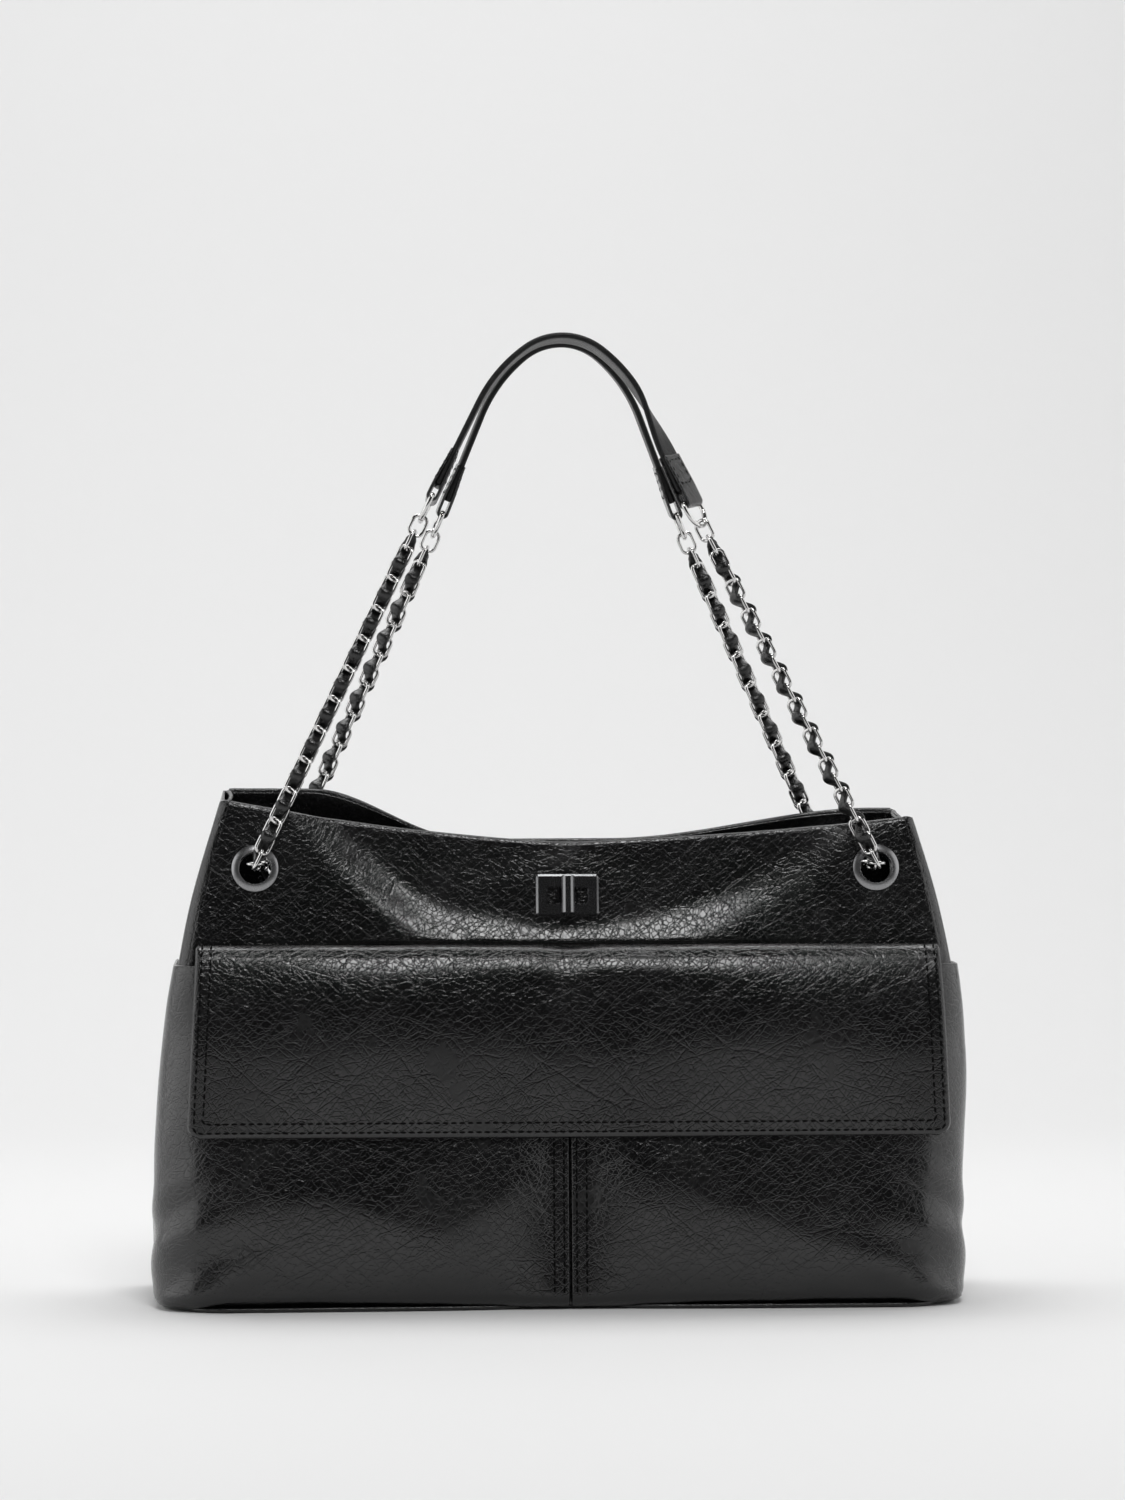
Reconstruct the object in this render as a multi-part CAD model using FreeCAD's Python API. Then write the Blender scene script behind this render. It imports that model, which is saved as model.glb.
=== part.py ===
import FreeCAD
import Part

import math
import os

from FreeCAD import Placement, Rotation, Vector

# Chain shoulder bag: a leather body with a flap pocket, a turn lock on its front,
# and two handles, each a leather strap on two chains that run through eyelets.
# Millimetres. +Z is up, the front faces -Y, the origin is on the floor
# under the middle of the base.

# Body
body_width = 420.0
flank_taper = 31.0
body_height = 260.0
flank_straight = 50.0
bottom_depth = 126.0
top_depth = 60.0
leather = 2.0
ply_gap = 0.3
corner_radius = 14.0
base_edge_radius = 4.0
front_dip = 18.0
back_dip = 10.0
facing_thickness = 1.2
facing_drop = 68.0
lining_thickness = 0.8
board_thickness = 2.0
board_margin = 1.0
overrun = 40.0

# Wrap-round pocket panels
pocket_drop = 88.0
pocket_base_stand = 2.0
pocket_top_stand = 12.8
pocket_corner_ease = 2.0
pocket_seam_half_width = 11.0
pocket_slit = 2.0
pocket_valley_slope_share = 0.55
pocket_back_inset = 16.0
seam_seat_gap = 0.1

# Pocket flap
flap_thickness = 2.6
flap_gap = 0.6
flap_rise = 9.0
flap_drop = 94.0
flap_top_margin = 23.0
flap_bottom_margin = 18.5
flap_corner_radius = 6.0
flap_fold_radius = 7.0
flap_bead_radius = 1.6
flap_bead_gap = 0.3

# Eyelets
eyelet_edge_inset = 20.5
eyelet_drop = 39.0
eyelet_hole_radius = 8.0
eyelet_barrel_wall = 1.0
eyelet_flange_reach = 2.8
eyelet_flange_height = 1.8
eyelet_flange_edge = 0.7
eyelet_lip_reach = 1.2
eyelet_lip_thickness = 0.6
eyelet_washer_thickness = 0.9
eyelet_fit = 0.05

# Turn lock
lock_rise = 26.0
lock_side_margin = 5.7
lock_end_margin = 1.05
lock_thickness = 2.2
lock_corner_radius = 2.0
lock_bevel = 1.1
lock_slot_end_gap = 0.6
lock_slot_side_gap = 0.5
lock_slot_bevel = 0.5
lock_prong_inset = 3.0
lock_prong_radius = 0.9
lock_back_margin = 1.0
lock_back_thickness = 1.0
toggle_length = 19.4
toggle_width = 7.0
toggle_base_height = 2.6
toggle_edge_bevel = 0.5
toggle_float = 0.4
stem_radius = 2.5
stem_fit = 0.06
retainer_reach = 1.7
retainer_thickness = 1.4
retainer_float = 0.15

# Chain
link_pitch = 8.6
link_wire = 1.8
link_width = 9.2
link_bend_radius = 3.0
link_gap = 0.25
front_leg_links = 23
rear_leg_links = 22
front_sway = -2.0
rear_sway = -0.5
link_roll = 27.5
foot_link_roll = 80.0
span_skew = 13.0
pivot_standoff_least = 6.0
foot_gap = 0.65
chain_rise = 1.5
handle_lean = 6.0
lace_width = 4.0
lace_thickness = 1.0
lace_reach = 3.3
lace_bend_radius = 2.2
lace_first_joint = 2
lace_free_links = 3

# D-rings
ring_wire = 2.5
ring_strap_gap = 0.4
ring_side = 1.5
ring_corner_radius = 2.0
ring_gap = 0.5

# Straps
strap_width = 17.0
strap_thickness = 3.0
strap_straight = 54.0
strap_shoulder_length = 37.7
strap_crown_length = 21.0
front_strap_slant = 25.5
front_crown_turn = 37.0
rear_strap_slant = 21.5
rear_crown_turn = 40.0
strap_twist = 32.0
strap_twist_steps = 6
strap_end_setback = 6.0
tab_thickness = 1.5
tab_length = 26.0
tab_bar_gap = 0.3

half = 0.5
quarter_turn = 90.0
half_turn = 180.0
full_turn = 360.0
pose_rounds = 30

# Working values that follow from the sizes above
top_of_blocks = body_height + overrun
half_width = body_width * half
top_width = body_width - 2 * flank_taper
flank_rise = body_height - flank_straight
flank_radius = (flank_rise ** 2 + flank_taper ** 2) / (2 * flank_taper)
depth_draw = (bottom_depth - top_depth) * half
wall_lean = math.atan2(depth_draw, body_height)
pocket_height = body_height - pocket_drop
pocket_base_reach = bottom_depth * half + pocket_base_stand
pocket_top_reach = bottom_depth * half - pocket_height * math.tan(wall_lean) + pocket_top_stand
pocket_corner_radius = corner_radius + pocket_corner_ease
pocket_lean = math.atan2(pocket_base_reach - pocket_top_reach, pocket_height)
panel_inset = leather + ply_gap
panel_back_inset = panel_inset + leather
facing_back_inset = panel_back_inset + facing_thickness
lining_inset = panel_back_inset + ply_gap
split_inset = panel_inset + corner_radius - leather
wall_stack = leather + facing_thickness
flap_hinge_height = pocket_height + flap_rise
flap_bottom_height = flap_hinge_height - flap_drop
flap_top_width = body_width - 2 * flap_top_margin
flap_bottom_width = body_width - 2 * flap_bottom_margin
eyelet_x = top_width * half - eyelet_edge_inset
eyelet_height = body_height - eyelet_drop
eyelet_barrel_radius = eyelet_hole_radius + eyelet_barrel_wall
eyelet_flange_radius = eyelet_barrel_radius + eyelet_flange_reach
eyelet_lip_radius = eyelet_barrel_radius + eyelet_lip_reach
lock_height = flap_hinge_height + lock_rise
lock_slot_length = toggle_length + 2 * lock_slot_end_gap
lock_slot_width = toggle_width + 2 * lock_slot_side_gap
lock_width = lock_slot_length + 2 * lock_side_margin
lock_tall = toggle_length + 2 * lock_end_margin
retainer_radius = stem_radius + retainer_reach
ring_inside_width = strap_width + 2 * ring_strap_gap

x_axis = Vector(1, 0, 0)
y_axis = Vector(0, 1, 0)
z_axis = Vector(0, 0, 1)
origin = Vector(0, 0, 0)


def line(start, end):
    return Part.LineSegment(start, end).toShape()


def arc(start, middle, end):
    return Part.Arc(start, middle, end).toShape()


def face_of(edges):
    return Part.Face(Part.Wire(edges))


def polygon(points):
    return Part.Face(Part.makePolygon(points + points[:1]))


def box_between(low, high):
    size = high - low
    return Part.makeBox(size.x, size.y, size.z, low)


def placed(shape, placement):
    copy = shape.copy()
    copy.Placement = placement.multiply(copy.Placement)
    return copy


def one_solid(shape):
    solids = sorted(shape.Solids, key=lambda s: s.Volume)
    return solids[-1]


def half_depth(z, inset):
    """Half the depth of the body at a height, pulled in square to its wall."""
    return bottom_depth * half - z * math.tan(wall_lean) - inset / math.cos(wall_lean)


def pocket_reach(z, inset):
    """How far the pocket front stands forward of the middle plane."""
    return pocket_base_reach - z * math.tan(pocket_lean) - inset / math.cos(pocket_lean)


def flank_x(z, inset):
    """Half the width of the body at a height on the drawn-in part of its flank."""
    radius = flank_radius - inset
    rise = z - flank_straight
    return half_width - flank_radius + math.sqrt(radius ** 2 - rise ** 2)


def front_outline(inset, low):
    """The body seen from the front, as a face in the plane of X and Z."""
    side = half_width - inset
    middle = (flank_straight + top_of_blocks) * half
    edges = [line(Vector(-side, 0, low), Vector(side, 0, low))]
    edges.append(line(Vector(side, 0, low), Vector(side, 0, flank_straight)))
    right_top = Vector(flank_x(top_of_blocks, inset), 0, top_of_blocks)
    left_top = Vector(-right_top.x, 0, top_of_blocks)
    edges.append(arc(Vector(side, 0, flank_straight),
                     Vector(flank_x(middle, inset), 0, middle), right_top))
    edges.append(line(right_top, left_top))
    edges.append(arc(left_top, Vector(-flank_x(middle, inset), 0, middle),
                     Vector(-side, 0, flank_straight)))
    edges.append(line(Vector(-side, 0, flank_straight), Vector(-side, 0, low)))
    return face_of(edges)


def outline_block(inset, low, y_low, y_high):
    face = front_outline(inset, low)
    face.translate(Vector(0, y_low, 0))
    return face.extrude(Vector(0, y_high - y_low, 0))


def side_block(front_low, front_high, inset, low):
    """The body seen from the side, run across the whole width."""
    reach = half_width + overrun
    points = [
        Vector(-reach, -front_low, low),
        Vector(-reach, half_depth(low, inset), low),
        Vector(-reach, half_depth(top_of_blocks, inset), top_of_blocks),
        Vector(-reach, -front_high, top_of_blocks),
    ]
    return polygon(points).extrude(Vector(2 * reach, 0, 0))


def upright_edges(block, front):
    chosen = []
    for edge in block.Edges:
        box = edge.BoundBox
        if box.ZLength > base_edge_radius and (edge.CenterOfMass.y < 0) == front:
            chosen.append(edge)
    return chosen


def rounded_uprights(block, front_radius, back_radius):
    block = block.makeFillet(front_radius, upright_edges(block, True))
    back = [e for e in upright_edges(block, False) if abs(e.CenterOfMass.y) > leather]
    return block.makeFillet(back_radius, back)


def body_block(inset, low):
    """The plain body, pulled in by an inset and closed at its foot."""
    reach = half_width
    block = outline_block(inset, low, -reach, reach)
    front_low = half_depth(low, inset)
    front_high = half_depth(top_of_blocks, inset)
    block = block.common(side_block(front_low, front_high, inset, low))
    radius = corner_radius - inset
    return rounded_uprights(block, radius, radius)


def valley(inset):
    """The dip where the two pocket panels come down to the front panel."""
    turn = math.atan(pocket_valley_slope_share)
    floor = leather + seam_seat_gap - inset
    flat = pocket_seam_half_width + inset * math.tan(turn * half)
    rise = overrun
    run = rise / pocket_valley_slope_share
    points = [
        Vector(-flat, floor, 0),
        Vector(flat, floor, 0),
        Vector(flat + run, floor + rise, 0),
        Vector(-flat - run, floor + rise, 0),
    ]
    length = body_height + 2 * overrun
    tool = polygon(points).extrude(Vector(0, 0, length))
    tool.rotate(origin, z_axis, half_turn)
    tool.translate(Vector(0, 0, -overrun))
    tool.rotate(origin, x_axis, -math.degrees(wall_lean))
    tool.translate(Vector(0, -half_depth(0, panel_inset), 0))
    return tool


def pocket_block(inset, low):
    """The body with its pocket front, before the dip is taken out."""
    reach = half_width
    block = outline_block(inset, low, -reach, reach)
    front_low = pocket_reach(low, inset)
    front_high = pocket_reach(top_of_blocks, inset)
    block = block.common(side_block(front_low, front_high, inset, low))
    return rounded_uprights(block, pocket_corner_radius - inset, corner_radius - inset)


def slab(low, high):
    reach = half_width + overrun
    return box_between(Vector(-reach, -reach, low), Vector(reach, reach, high))


def rounded_base(block):
    foot = [e for e in block.Edges if e.BoundBox.ZMax < base_edge_radius * half]
    return block.makeFillet(base_edge_radius, foot)


def mouth_lens(dip, y_low, y_high):
    """The sag of one long edge of the mouth."""
    side = flank_x(body_height, split_inset)
    left = Vector(-side, y_low, body_height)
    right = Vector(side, y_low, body_height)
    low = Vector(0, y_low, body_height - dip)
    face = face_of([arc(left, low, right), line(right, left)])
    return face.extrude(Vector(0, y_high - y_low, 0))


def trimmed_mouth(shape):
    shape = shape.cut(slab(body_height, top_of_blocks + overrun))
    shape = shape.cut(mouth_lens(front_dip, -bottom_depth, 0))
    return shape.cut(mouth_lens(back_dip, 0, bottom_depth))


def front_seat(x, z):
    """A place on the front panel's face: local Z leaves the face, local Y climbs it."""
    point = Vector(x, -half_depth(z, panel_inset), z)
    return Placement(point, Rotation(x_axis, quarter_turn - math.degrees(wall_lean)))


def eyelet_places():
    """All four eyelets; the back ones lie a little nearer the middle than the front ones."""
    skew = math.radians(span_skew)
    front = [front_seat(side * eyelet_x, eyelet_height) for side in (-1, 1)]
    back_x = eyelet_x - (half_depth(eyelet_height, panel_inset) - span_bend_y()) * math.tan(skew)
    back_turn = Placement(origin, Rotation(z_axis, half_turn))
    back = [back_turn.multiply(front_seat(-side * back_x, eyelet_height)) for side in (-1, 1)]
    names = ["eyelet_front_left", "eyelet_front_right"]
    names += ["eyelet_back_left", "eyelet_back_right"]
    return list(zip(names, front + back))


def hardware_holes():
    """Everything the eyelets and the lock need cut through panel and facing."""
    depth = wall_stack + overrun
    tools = []
    for name, place in eyelet_places():
        bore = Part.makeCylinder(eyelet_barrel_radius + eyelet_fit, overrun,
                                 Vector(0, 0, -overrun * half))
        tools.append(placed(bore, place))
    seat = front_seat(0, lock_height)
    stem = Part.makeCylinder(stem_radius + lock_slot_bevel, depth, Vector(0, 0, -depth * half))
    tools.append(placed(stem, seat))
    for prong in lock_prong_points():
        bore = Part.makeCylinder(lock_prong_radius + eyelet_fit, depth,
                                 prong - Vector(0, 0, depth * half))
        tools.append(placed(bore, seat))
    return tools


def with_holes(shape):
    for tool in hardware_holes():
        shape = shape.cut(tool)
    return shape


def body_nodes():
    nodes = {}
    outer = body_block(panel_inset, leather)
    inner = body_block(panel_back_inset, leather)
    wall = trimmed_mouth(outer.cut(inner))
    wall = with_holes(wall)
    reach = bottom_depth
    front_part = outline_block(split_inset, -overrun, -reach, 0)
    back_part = outline_block(split_inset, -overrun, 0, reach)
    nodes["front_panel"] = one_solid(wall.common(front_part))
    nodes["back_panel"] = one_solid(wall.common(back_part))
    sides = wall.cut(front_part).cut(back_part)
    gussets = sorted(sides.Solids, key=lambda s: s.CenterOfMass.x)
    nodes["gusset_left"] = gussets[0]
    nodes["gusset_right"] = gussets[-1]
    facing_block = inner.cut(body_block(facing_back_inset, leather))
    facing_low = body_height - facing_drop
    facing = facing_block.cut(slab(-overrun, facing_low))
    nodes["top_facing"] = one_solid(with_holes(trimmed_mouth(facing)))
    board_top = leather + board_thickness
    floor = board_top + ply_gap
    lining = body_block(lining_inset, floor)
    hollow = body_block(lining_inset + lining_thickness, floor + lining_thickness)
    lining = lining.cut(hollow).cut(slab(facing_low - ply_gap, top_of_blocks + overrun))
    nodes["lining"] = one_solid(lining)
    board = body_block(panel_back_inset + board_margin, leather)
    nodes["base_board"] = one_solid(board.common(slab(leather, board_top)))
    return nodes


def pocket_nodes():
    nodes = {}
    whole = rounded_base(pocket_block(0, 0))
    nodes["bottom_panel"] = one_solid(whole.common(slab(-overrun, leather)))
    shell = whole.cut(valley(0))
    shell = shell.cut(pocket_block(leather, -overrun).cut(valley(leather)))
    shell = shell.common(slab(leather, pocket_height))
    reach = body_width
    behind = polygon([
        Vector(-reach, half_depth(-overrun, pocket_back_inset), -overrun),
        Vector(-reach, reach, -overrun),
        Vector(-reach, reach, top_of_blocks),
        Vector(-reach, half_depth(top_of_blocks, pocket_back_inset), top_of_blocks),
    ]).extrude(Vector(2 * reach, 0, 0))
    slit = box_between(Vector(-pocket_slit * half, -reach, -overrun),
                       Vector(pocket_slit * half, reach, top_of_blocks))
    shell = shell.cut(behind).cut(slit)
    wraps = sorted(shell.Solids, key=lambda s: s.CenterOfMass.x)
    nodes["pocket_wrap_left"] = wraps[0]
    nodes["pocket_wrap_right"] = wraps[-1]
    return nodes


def flap_hinge_y():
    stand = (flap_bead_radius + flap_bead_gap) / math.cos(wall_lean)
    return -half_depth(flap_hinge_height, panel_inset) - stand


def flap_section():
    """The flap from the side: a bead at its seam, a short top run, a fold, a long leaf."""
    top = flap_hinge_height + flap_thickness * half
    under = flap_hinge_height - flap_thickness * half
    near = flap_hinge_y()
    lean = pocket_lean

    def leaf(offset, z):
        return Vector(0, -pocket_reach(z, 0) - offset / math.cos(lean), z)

    def fold(offset, ceiling, radius):
        """The rounded corner between the top run and the leaf."""
        turn = quarter_turn - math.degrees(lean)
        setback = radius * math.tan(math.radians(turn) * half)
        corner = leaf(offset, ceiling)
        start = corner + Vector(0, setback, 0)
        down = Vector(0, -math.sin(lean), -math.cos(lean))
        end = corner + down * setback
        centre = start - Vector(0, 0, radius)
        bisector = (corner - centre).normalize()
        return start, centre + bisector * radius, end

    out_start, out_middle, out_end = fold(flap_gap + flap_thickness, top, flap_fold_radius)
    in_radius = flap_fold_radius - flap_thickness
    in_start, in_middle, in_end = fold(flap_gap, under, in_radius)
    foot_out = leaf(flap_gap + flap_thickness, flap_bottom_height)
    foot_in = leaf(flap_gap, flap_bottom_height)
    edges = [
        line(Vector(0, near, top), out_start),
        arc(out_start, out_middle, out_end),
        line(out_end, foot_out),
        line(foot_out, foot_in),
        line(foot_in, in_end),
        arc(in_end, in_middle, in_start),
        line(in_start, Vector(0, near, under)),
        line(Vector(0, near, under), Vector(0, near, top)),
    ]
    return face_of(edges)


def flap_front_view():
    """The flap's outline from the front, with its two rounded lower corners."""
    high = flap_hinge_height + overrun
    slope = (flap_bottom_width - flap_top_width) * half / (flap_hinge_height - flap_bottom_height)
    foot = flap_bottom_width * half
    head = foot - slope * (high - flap_bottom_height)
    low = flap_bottom_height
    face = polygon([
        Vector(-foot, 0, low),
        Vector(foot, 0, low),
        Vector(head, 0, high),
        Vector(-head, 0, high),
    ])
    block = face.extrude(Vector(0, -2 * body_width, 0))
    block.translate(Vector(0, body_width, 0))
    corners = []
    for edge in block.Edges:
        if edge.BoundBox.YLength > body_width and edge.CenterOfMass.z < low + leather:
            corners.append(edge)
    return block.makeFillet(flap_corner_radius, corners)


def pocket_flap():
    reach = body_width
    sheet = flap_section().extrude(Vector(reach, 0, 0))
    sheet.translate(Vector(-reach * half, 0, 0))
    bead = Part.makeCylinder(flap_bead_radius, reach,
                             Vector(-reach * half, flap_hinge_y(), flap_hinge_height), x_axis)
    return one_solid(sheet.fuse(bead).removeSplitter().common(flap_front_view()))


def eyelet():
    """A flanged barrel whose far end is rolled over the washer."""
    lip_face = -wall_stack - eyelet_washer_thickness
    lip_end = lip_face - eyelet_lip_thickness
    crown = (eyelet_barrel_radius + eyelet_hole_radius) * half
    crown_end = (crown + eyelet_flange_radius) * half
    shoulder = (eyelet_flange_height + eyelet_flange_edge) * half
    edges = [
        line(Vector(eyelet_hole_radius, 0, lip_end), Vector(eyelet_hole_radius, 0, shoulder)),
        arc(Vector(eyelet_hole_radius, 0, shoulder),
            Vector((eyelet_hole_radius + crown) * half - eyelet_fit, 0,
                   (shoulder + eyelet_flange_height) * half + eyelet_fit),
            Vector(crown, 0, eyelet_flange_height)),
        arc(Vector(crown, 0, eyelet_flange_height),
            Vector(crown_end, 0, eyelet_flange_height - eyelet_flange_edge * half),
            Vector(eyelet_flange_radius, 0, eyelet_flange_edge)),
        line(Vector(eyelet_flange_radius, 0, eyelet_flange_edge), Vector(eyelet_flange_radius, 0, 0)),
        line(Vector(eyelet_flange_radius, 0, 0), Vector(eyelet_barrel_radius, 0, 0)),
        line(Vector(eyelet_barrel_radius, 0, 0), Vector(eyelet_barrel_radius, 0, lip_face)),
        line(Vector(eyelet_barrel_radius, 0, lip_face), Vector(eyelet_lip_radius, 0, lip_face)),
        line(Vector(eyelet_lip_radius, 0, lip_face), Vector(eyelet_barrel_radius, 0, lip_end)),
        line(Vector(eyelet_barrel_radius, 0, lip_end), Vector(eyelet_hole_radius, 0, lip_end)),
    ]
    return face_of(edges).revolve(origin, z_axis, full_turn)


def eyelet_washer():
    ring = Part.makeCylinder(eyelet_flange_radius, eyelet_washer_thickness,
                             Vector(0, 0, -wall_stack - eyelet_washer_thickness))
    bore = Part.makeCylinder(eyelet_barrel_radius + eyelet_fit, overrun,
                             Vector(0, 0, -overrun * half))
    return ring.cut(bore)


def eyelet_nodes():
    nodes = {}
    ring = eyelet()
    washer = eyelet_washer()
    washers = []
    for name, place in eyelet_places():
        nodes[name] = placed(ring, place)
        washers.append(placed(washer, place))
    nodes["eyelet_washers"] = Part.makeCompound(washers)
    return nodes


def rounded_plate(width, tall, radius, low, high):
    corner = Vector(width * half, tall * half, 0)
    plate = box_between(Vector(0, 0, low) - corner, Vector(0, 0, high) + corner)
    uprights = [e for e in plate.Edges if e.BoundBox.ZLength > (high - low) * half]
    return plate.makeFillet(radius, uprights)


def edges_at(shape, z):
    boxes = [(edge, edge.BoundBox) for edge in shape.Edges]
    return [edge for edge, box in boxes if abs(box.ZMin - z) + abs(box.ZMax - z) < eyelet_fit]


def lock_prong_points():
    across = lock_width * half - lock_prong_inset
    up = lock_tall * half - lock_prong_inset
    return [Vector(sx * across, sy * up, 0) for sx in (-1, 1) for sy in (-1, 1)]


def lock_frame():
    """The bevelled plate with its slot, and the prongs that hold it to the panel."""
    plate = rounded_plate(lock_width, lock_tall, lock_corner_radius, 0, lock_thickness)
    plate = plate.makeChamfer(lock_bevel, edges_at(plate, lock_thickness))
    slot = rounded_plate(lock_slot_length, lock_slot_width, lock_bevel, -overrun, overrun)
    plate = plate.cut(slot)
    rim = edges_at(plate, lock_thickness)
    rim = [e for e in rim if abs(e.CenterOfMass.x) < lock_slot_length * half + eyelet_fit
           and abs(e.CenterOfMass.y) < lock_slot_width * half + eyelet_fit]
    plate = plate.makeChamfer(lock_slot_bevel, rim)
    length = wall_stack + lock_back_thickness
    for point in lock_prong_points():
        prong = Part.makeCylinder(lock_prong_radius, length, point - Vector(0, 0, length))
        plate = plate.fuse(prong)
    return one_solid(plate.removeSplitter())


def lock_back_plate():
    top = -wall_stack
    plate = rounded_plate(lock_width - 2 * lock_back_margin, lock_tall - 2 * lock_back_margin,
                          lock_bevel, top - lock_back_thickness, top)
    bore = Part.makeCylinder(stem_radius + stem_fit, 2 * overrun, Vector(0, 0, -overrun))
    plate = plate.cut(bore)
    for point in lock_prong_points():
        hole = Part.makeCylinder(lock_prong_radius + eyelet_fit, 2 * overrun,
                                 point - Vector(0, 0, overrun))
        plate = plate.cut(hole)
    return one_solid(plate)


def lock_toggle():
    """A half-round bar across a stem; the bar just passes the slot when it is turned."""
    low = lock_thickness + toggle_float
    side = toggle_width * half
    shoulder = low + toggle_base_height
    edges = [
        line(Vector(-side, 0, low), Vector(side, 0, low)),
        line(Vector(side, 0, low), Vector(side, 0, shoulder)),
        arc(Vector(side, 0, shoulder), Vector(0, 0, shoulder + side), Vector(-side, 0, shoulder)),
        line(Vector(-side, 0, shoulder), Vector(-side, 0, low)),
    ]
    bar = face_of(edges).extrude(Vector(0, toggle_length, 0))
    bar.translate(Vector(0, -toggle_length * half, 0))
    ends = []
    for edge in bar.Edges:
        if edge.BoundBox.YLength < eyelet_fit and edge.BoundBox.ZMax > shoulder:
            ends.append(edge)
    bar = bar.makeChamfer(toggle_edge_bevel, ends)
    foot = -wall_stack - lock_back_thickness - retainer_float - retainer_thickness
    stem = Part.makeCylinder(stem_radius, low - foot, Vector(0, 0, foot))
    return one_solid(bar.fuse(stem).removeSplitter())


def lock_retainer():
    high = -wall_stack - lock_back_thickness - retainer_float
    disc = Part.makeCylinder(retainer_radius, retainer_thickness,
                             Vector(0, 0, high - retainer_thickness))
    bore = Part.makeCylinder(stem_radius, 2 * overrun, Vector(0, 0, -overrun))
    return disc.cut(bore)


def lock_nodes():
    seat = front_seat(0, lock_height)
    return {
        "lock_frame": placed(lock_frame(), seat),
        "lock_back_plate": placed(lock_back_plate(), seat),
        "lock_toggle": placed(lock_toggle(), seat),
        "lock_retainer": placed(lock_retainer(), seat),
    }


def rod(start, end, radius):
    run = end - start
    return Part.makeCylinder(radius, run.Length, start, run)


def bend(start, centre, axis, angle, tangent, radius):
    disc = face_of([Part.makeCircle(radius, start, tangent)])
    return disc.revolve(centre, axis, angle)


def chain_link():
    """One link of round wire along Z, lying in the plane of X and Z."""
    radius = link_wire * half
    side = (link_width - link_wire) * half
    end = (link_pitch + link_wire + link_gap) * half
    run = end - link_bend_radius
    flat = side - link_bend_radius
    pieces = []
    for s in (-1, 1):
        pieces.append(rod(Vector(s * side, 0, -run), Vector(s * side, 0, run), radius))
        pieces.append(rod(Vector(-flat, 0, s * end), Vector(flat, 0, s * end), radius))
    for sx in (-1, 1):
        for sz in (-1, 1):
            pieces.append(bend(Vector(sx * side, 0, sz * run), Vector(sx * flat, 0, sz * run),
                               y_axis * (-sx * sz), quarter_turn, z_axis, radius))
    return one_solid(pieces[0].multiFuse(pieces[1:]).removeSplitter())


def span_front_length():
    """From the front pivot to the joint behind the front link, which lies straight."""
    return link_pitch + (link_wire + link_gap) * half


def span_rear_length(count):
    """From that joint to the rear pivot, along the links that run askew."""
    return (count - 1) * link_pitch + (link_wire + link_gap) * half


def span_reach(count):
    """Half the way from pivot to pivot, measured front to back."""
    askew = span_rear_length(count) * math.cos(math.radians(span_skew))
    return (span_front_length() + askew) * half


def span_links():
    """Links between the two pivots of one side: the least odd number that reaches."""
    count = 1
    while span_reach(count) < half_depth(eyelet_height, panel_inset) + pivot_standoff_least:
        count += 2
    return count


def rear_pivot_x():
    return eyelet_x - span_rear_length(span_links()) * math.sin(math.radians(span_skew))


def pivot_y():
    """The middle of the first inner link's end wire, where the handle swings."""
    return -span_reach(span_links())


def pivot_z():
    stand = -pivot_y() - half_depth(eyelet_height, panel_inset)
    return eyelet_height + stand * math.tan(wall_lean) + chain_rise


def span_bend_y():
    return pivot_y() + span_front_length()


def inner_span(link, side):
    """Links lying through both eyelets, a quarter turn from one to the next, bent once."""
    links = []
    along_y = Rotation(x_axis, -quarter_turn)
    joint = Vector(side * eyelet_x, span_bend_y(), pivot_z())
    for i in range(span_links()):
        skew = span_skew if i else 0.0
        frame = Placement(joint, Rotation(z_axis, side * skew))
        roll = Rotation(y_axis, quarter_turn * (i % 2))
        place = Placement(Vector(0, (i - half) * link_pitch, 0), roll.multiply(along_y))
        links.append(placed(link, frame.multiply(place)))
    return Part.makeCompound(links)


def handle_place():
    """Handle frame: local Z climbs the handle from the line of its two pivots."""
    return Placement(Vector(0, pivot_y(), pivot_z()), Rotation(x_axis, -handle_lean))


def leg_length(links):
    """From the pivot to the middle of the top link's upper wire."""
    return links * link_pitch + link_gap - foot_gap


def strap_arch(slant, crown_turn):
    """How a strap is bent: a tight crown, a slacker shoulder each side, then straight ends."""
    shoulder_turn = quarter_turn - slant - crown_turn
    return {
        "slant": math.radians(slant),
        "crown_turn": math.radians(crown_turn),
        "foot_turn": math.radians(quarter_turn - slant),
        "crown_radius": strap_crown_length / math.radians(crown_turn),
        "shoulder_radius": strap_shoulder_length / math.radians(shoulder_turn),
    }


def arch_point(arch, side, turn, stand):
    """A point of the bend where it has turned by an angle from its top, stood off its middle."""
    crown = arch["crown_radius"]
    centre = Vector(0, 0, -crown)
    radius = crown
    if turn > arch["crown_turn"]:
        radius = arch["shoulder_radius"]
        slack = crown - radius
        centre += Vector(slack * math.sin(arch["crown_turn"]), 0, slack * math.cos(arch["crown_turn"]))
    point = centre + Vector(math.sin(turn), 0, math.cos(turn)) * (radius + stand)
    return Vector(side * point.x, 0, point.z)


def bar_point(arch, side):
    """The bar at one end of the strap."""
    slant = arch["slant"]
    down = Vector(side * math.sin(slant), 0, -math.cos(slant)) * strap_straight
    return arch_point(arch, side, arch["foot_turn"], 0) + down


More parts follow.
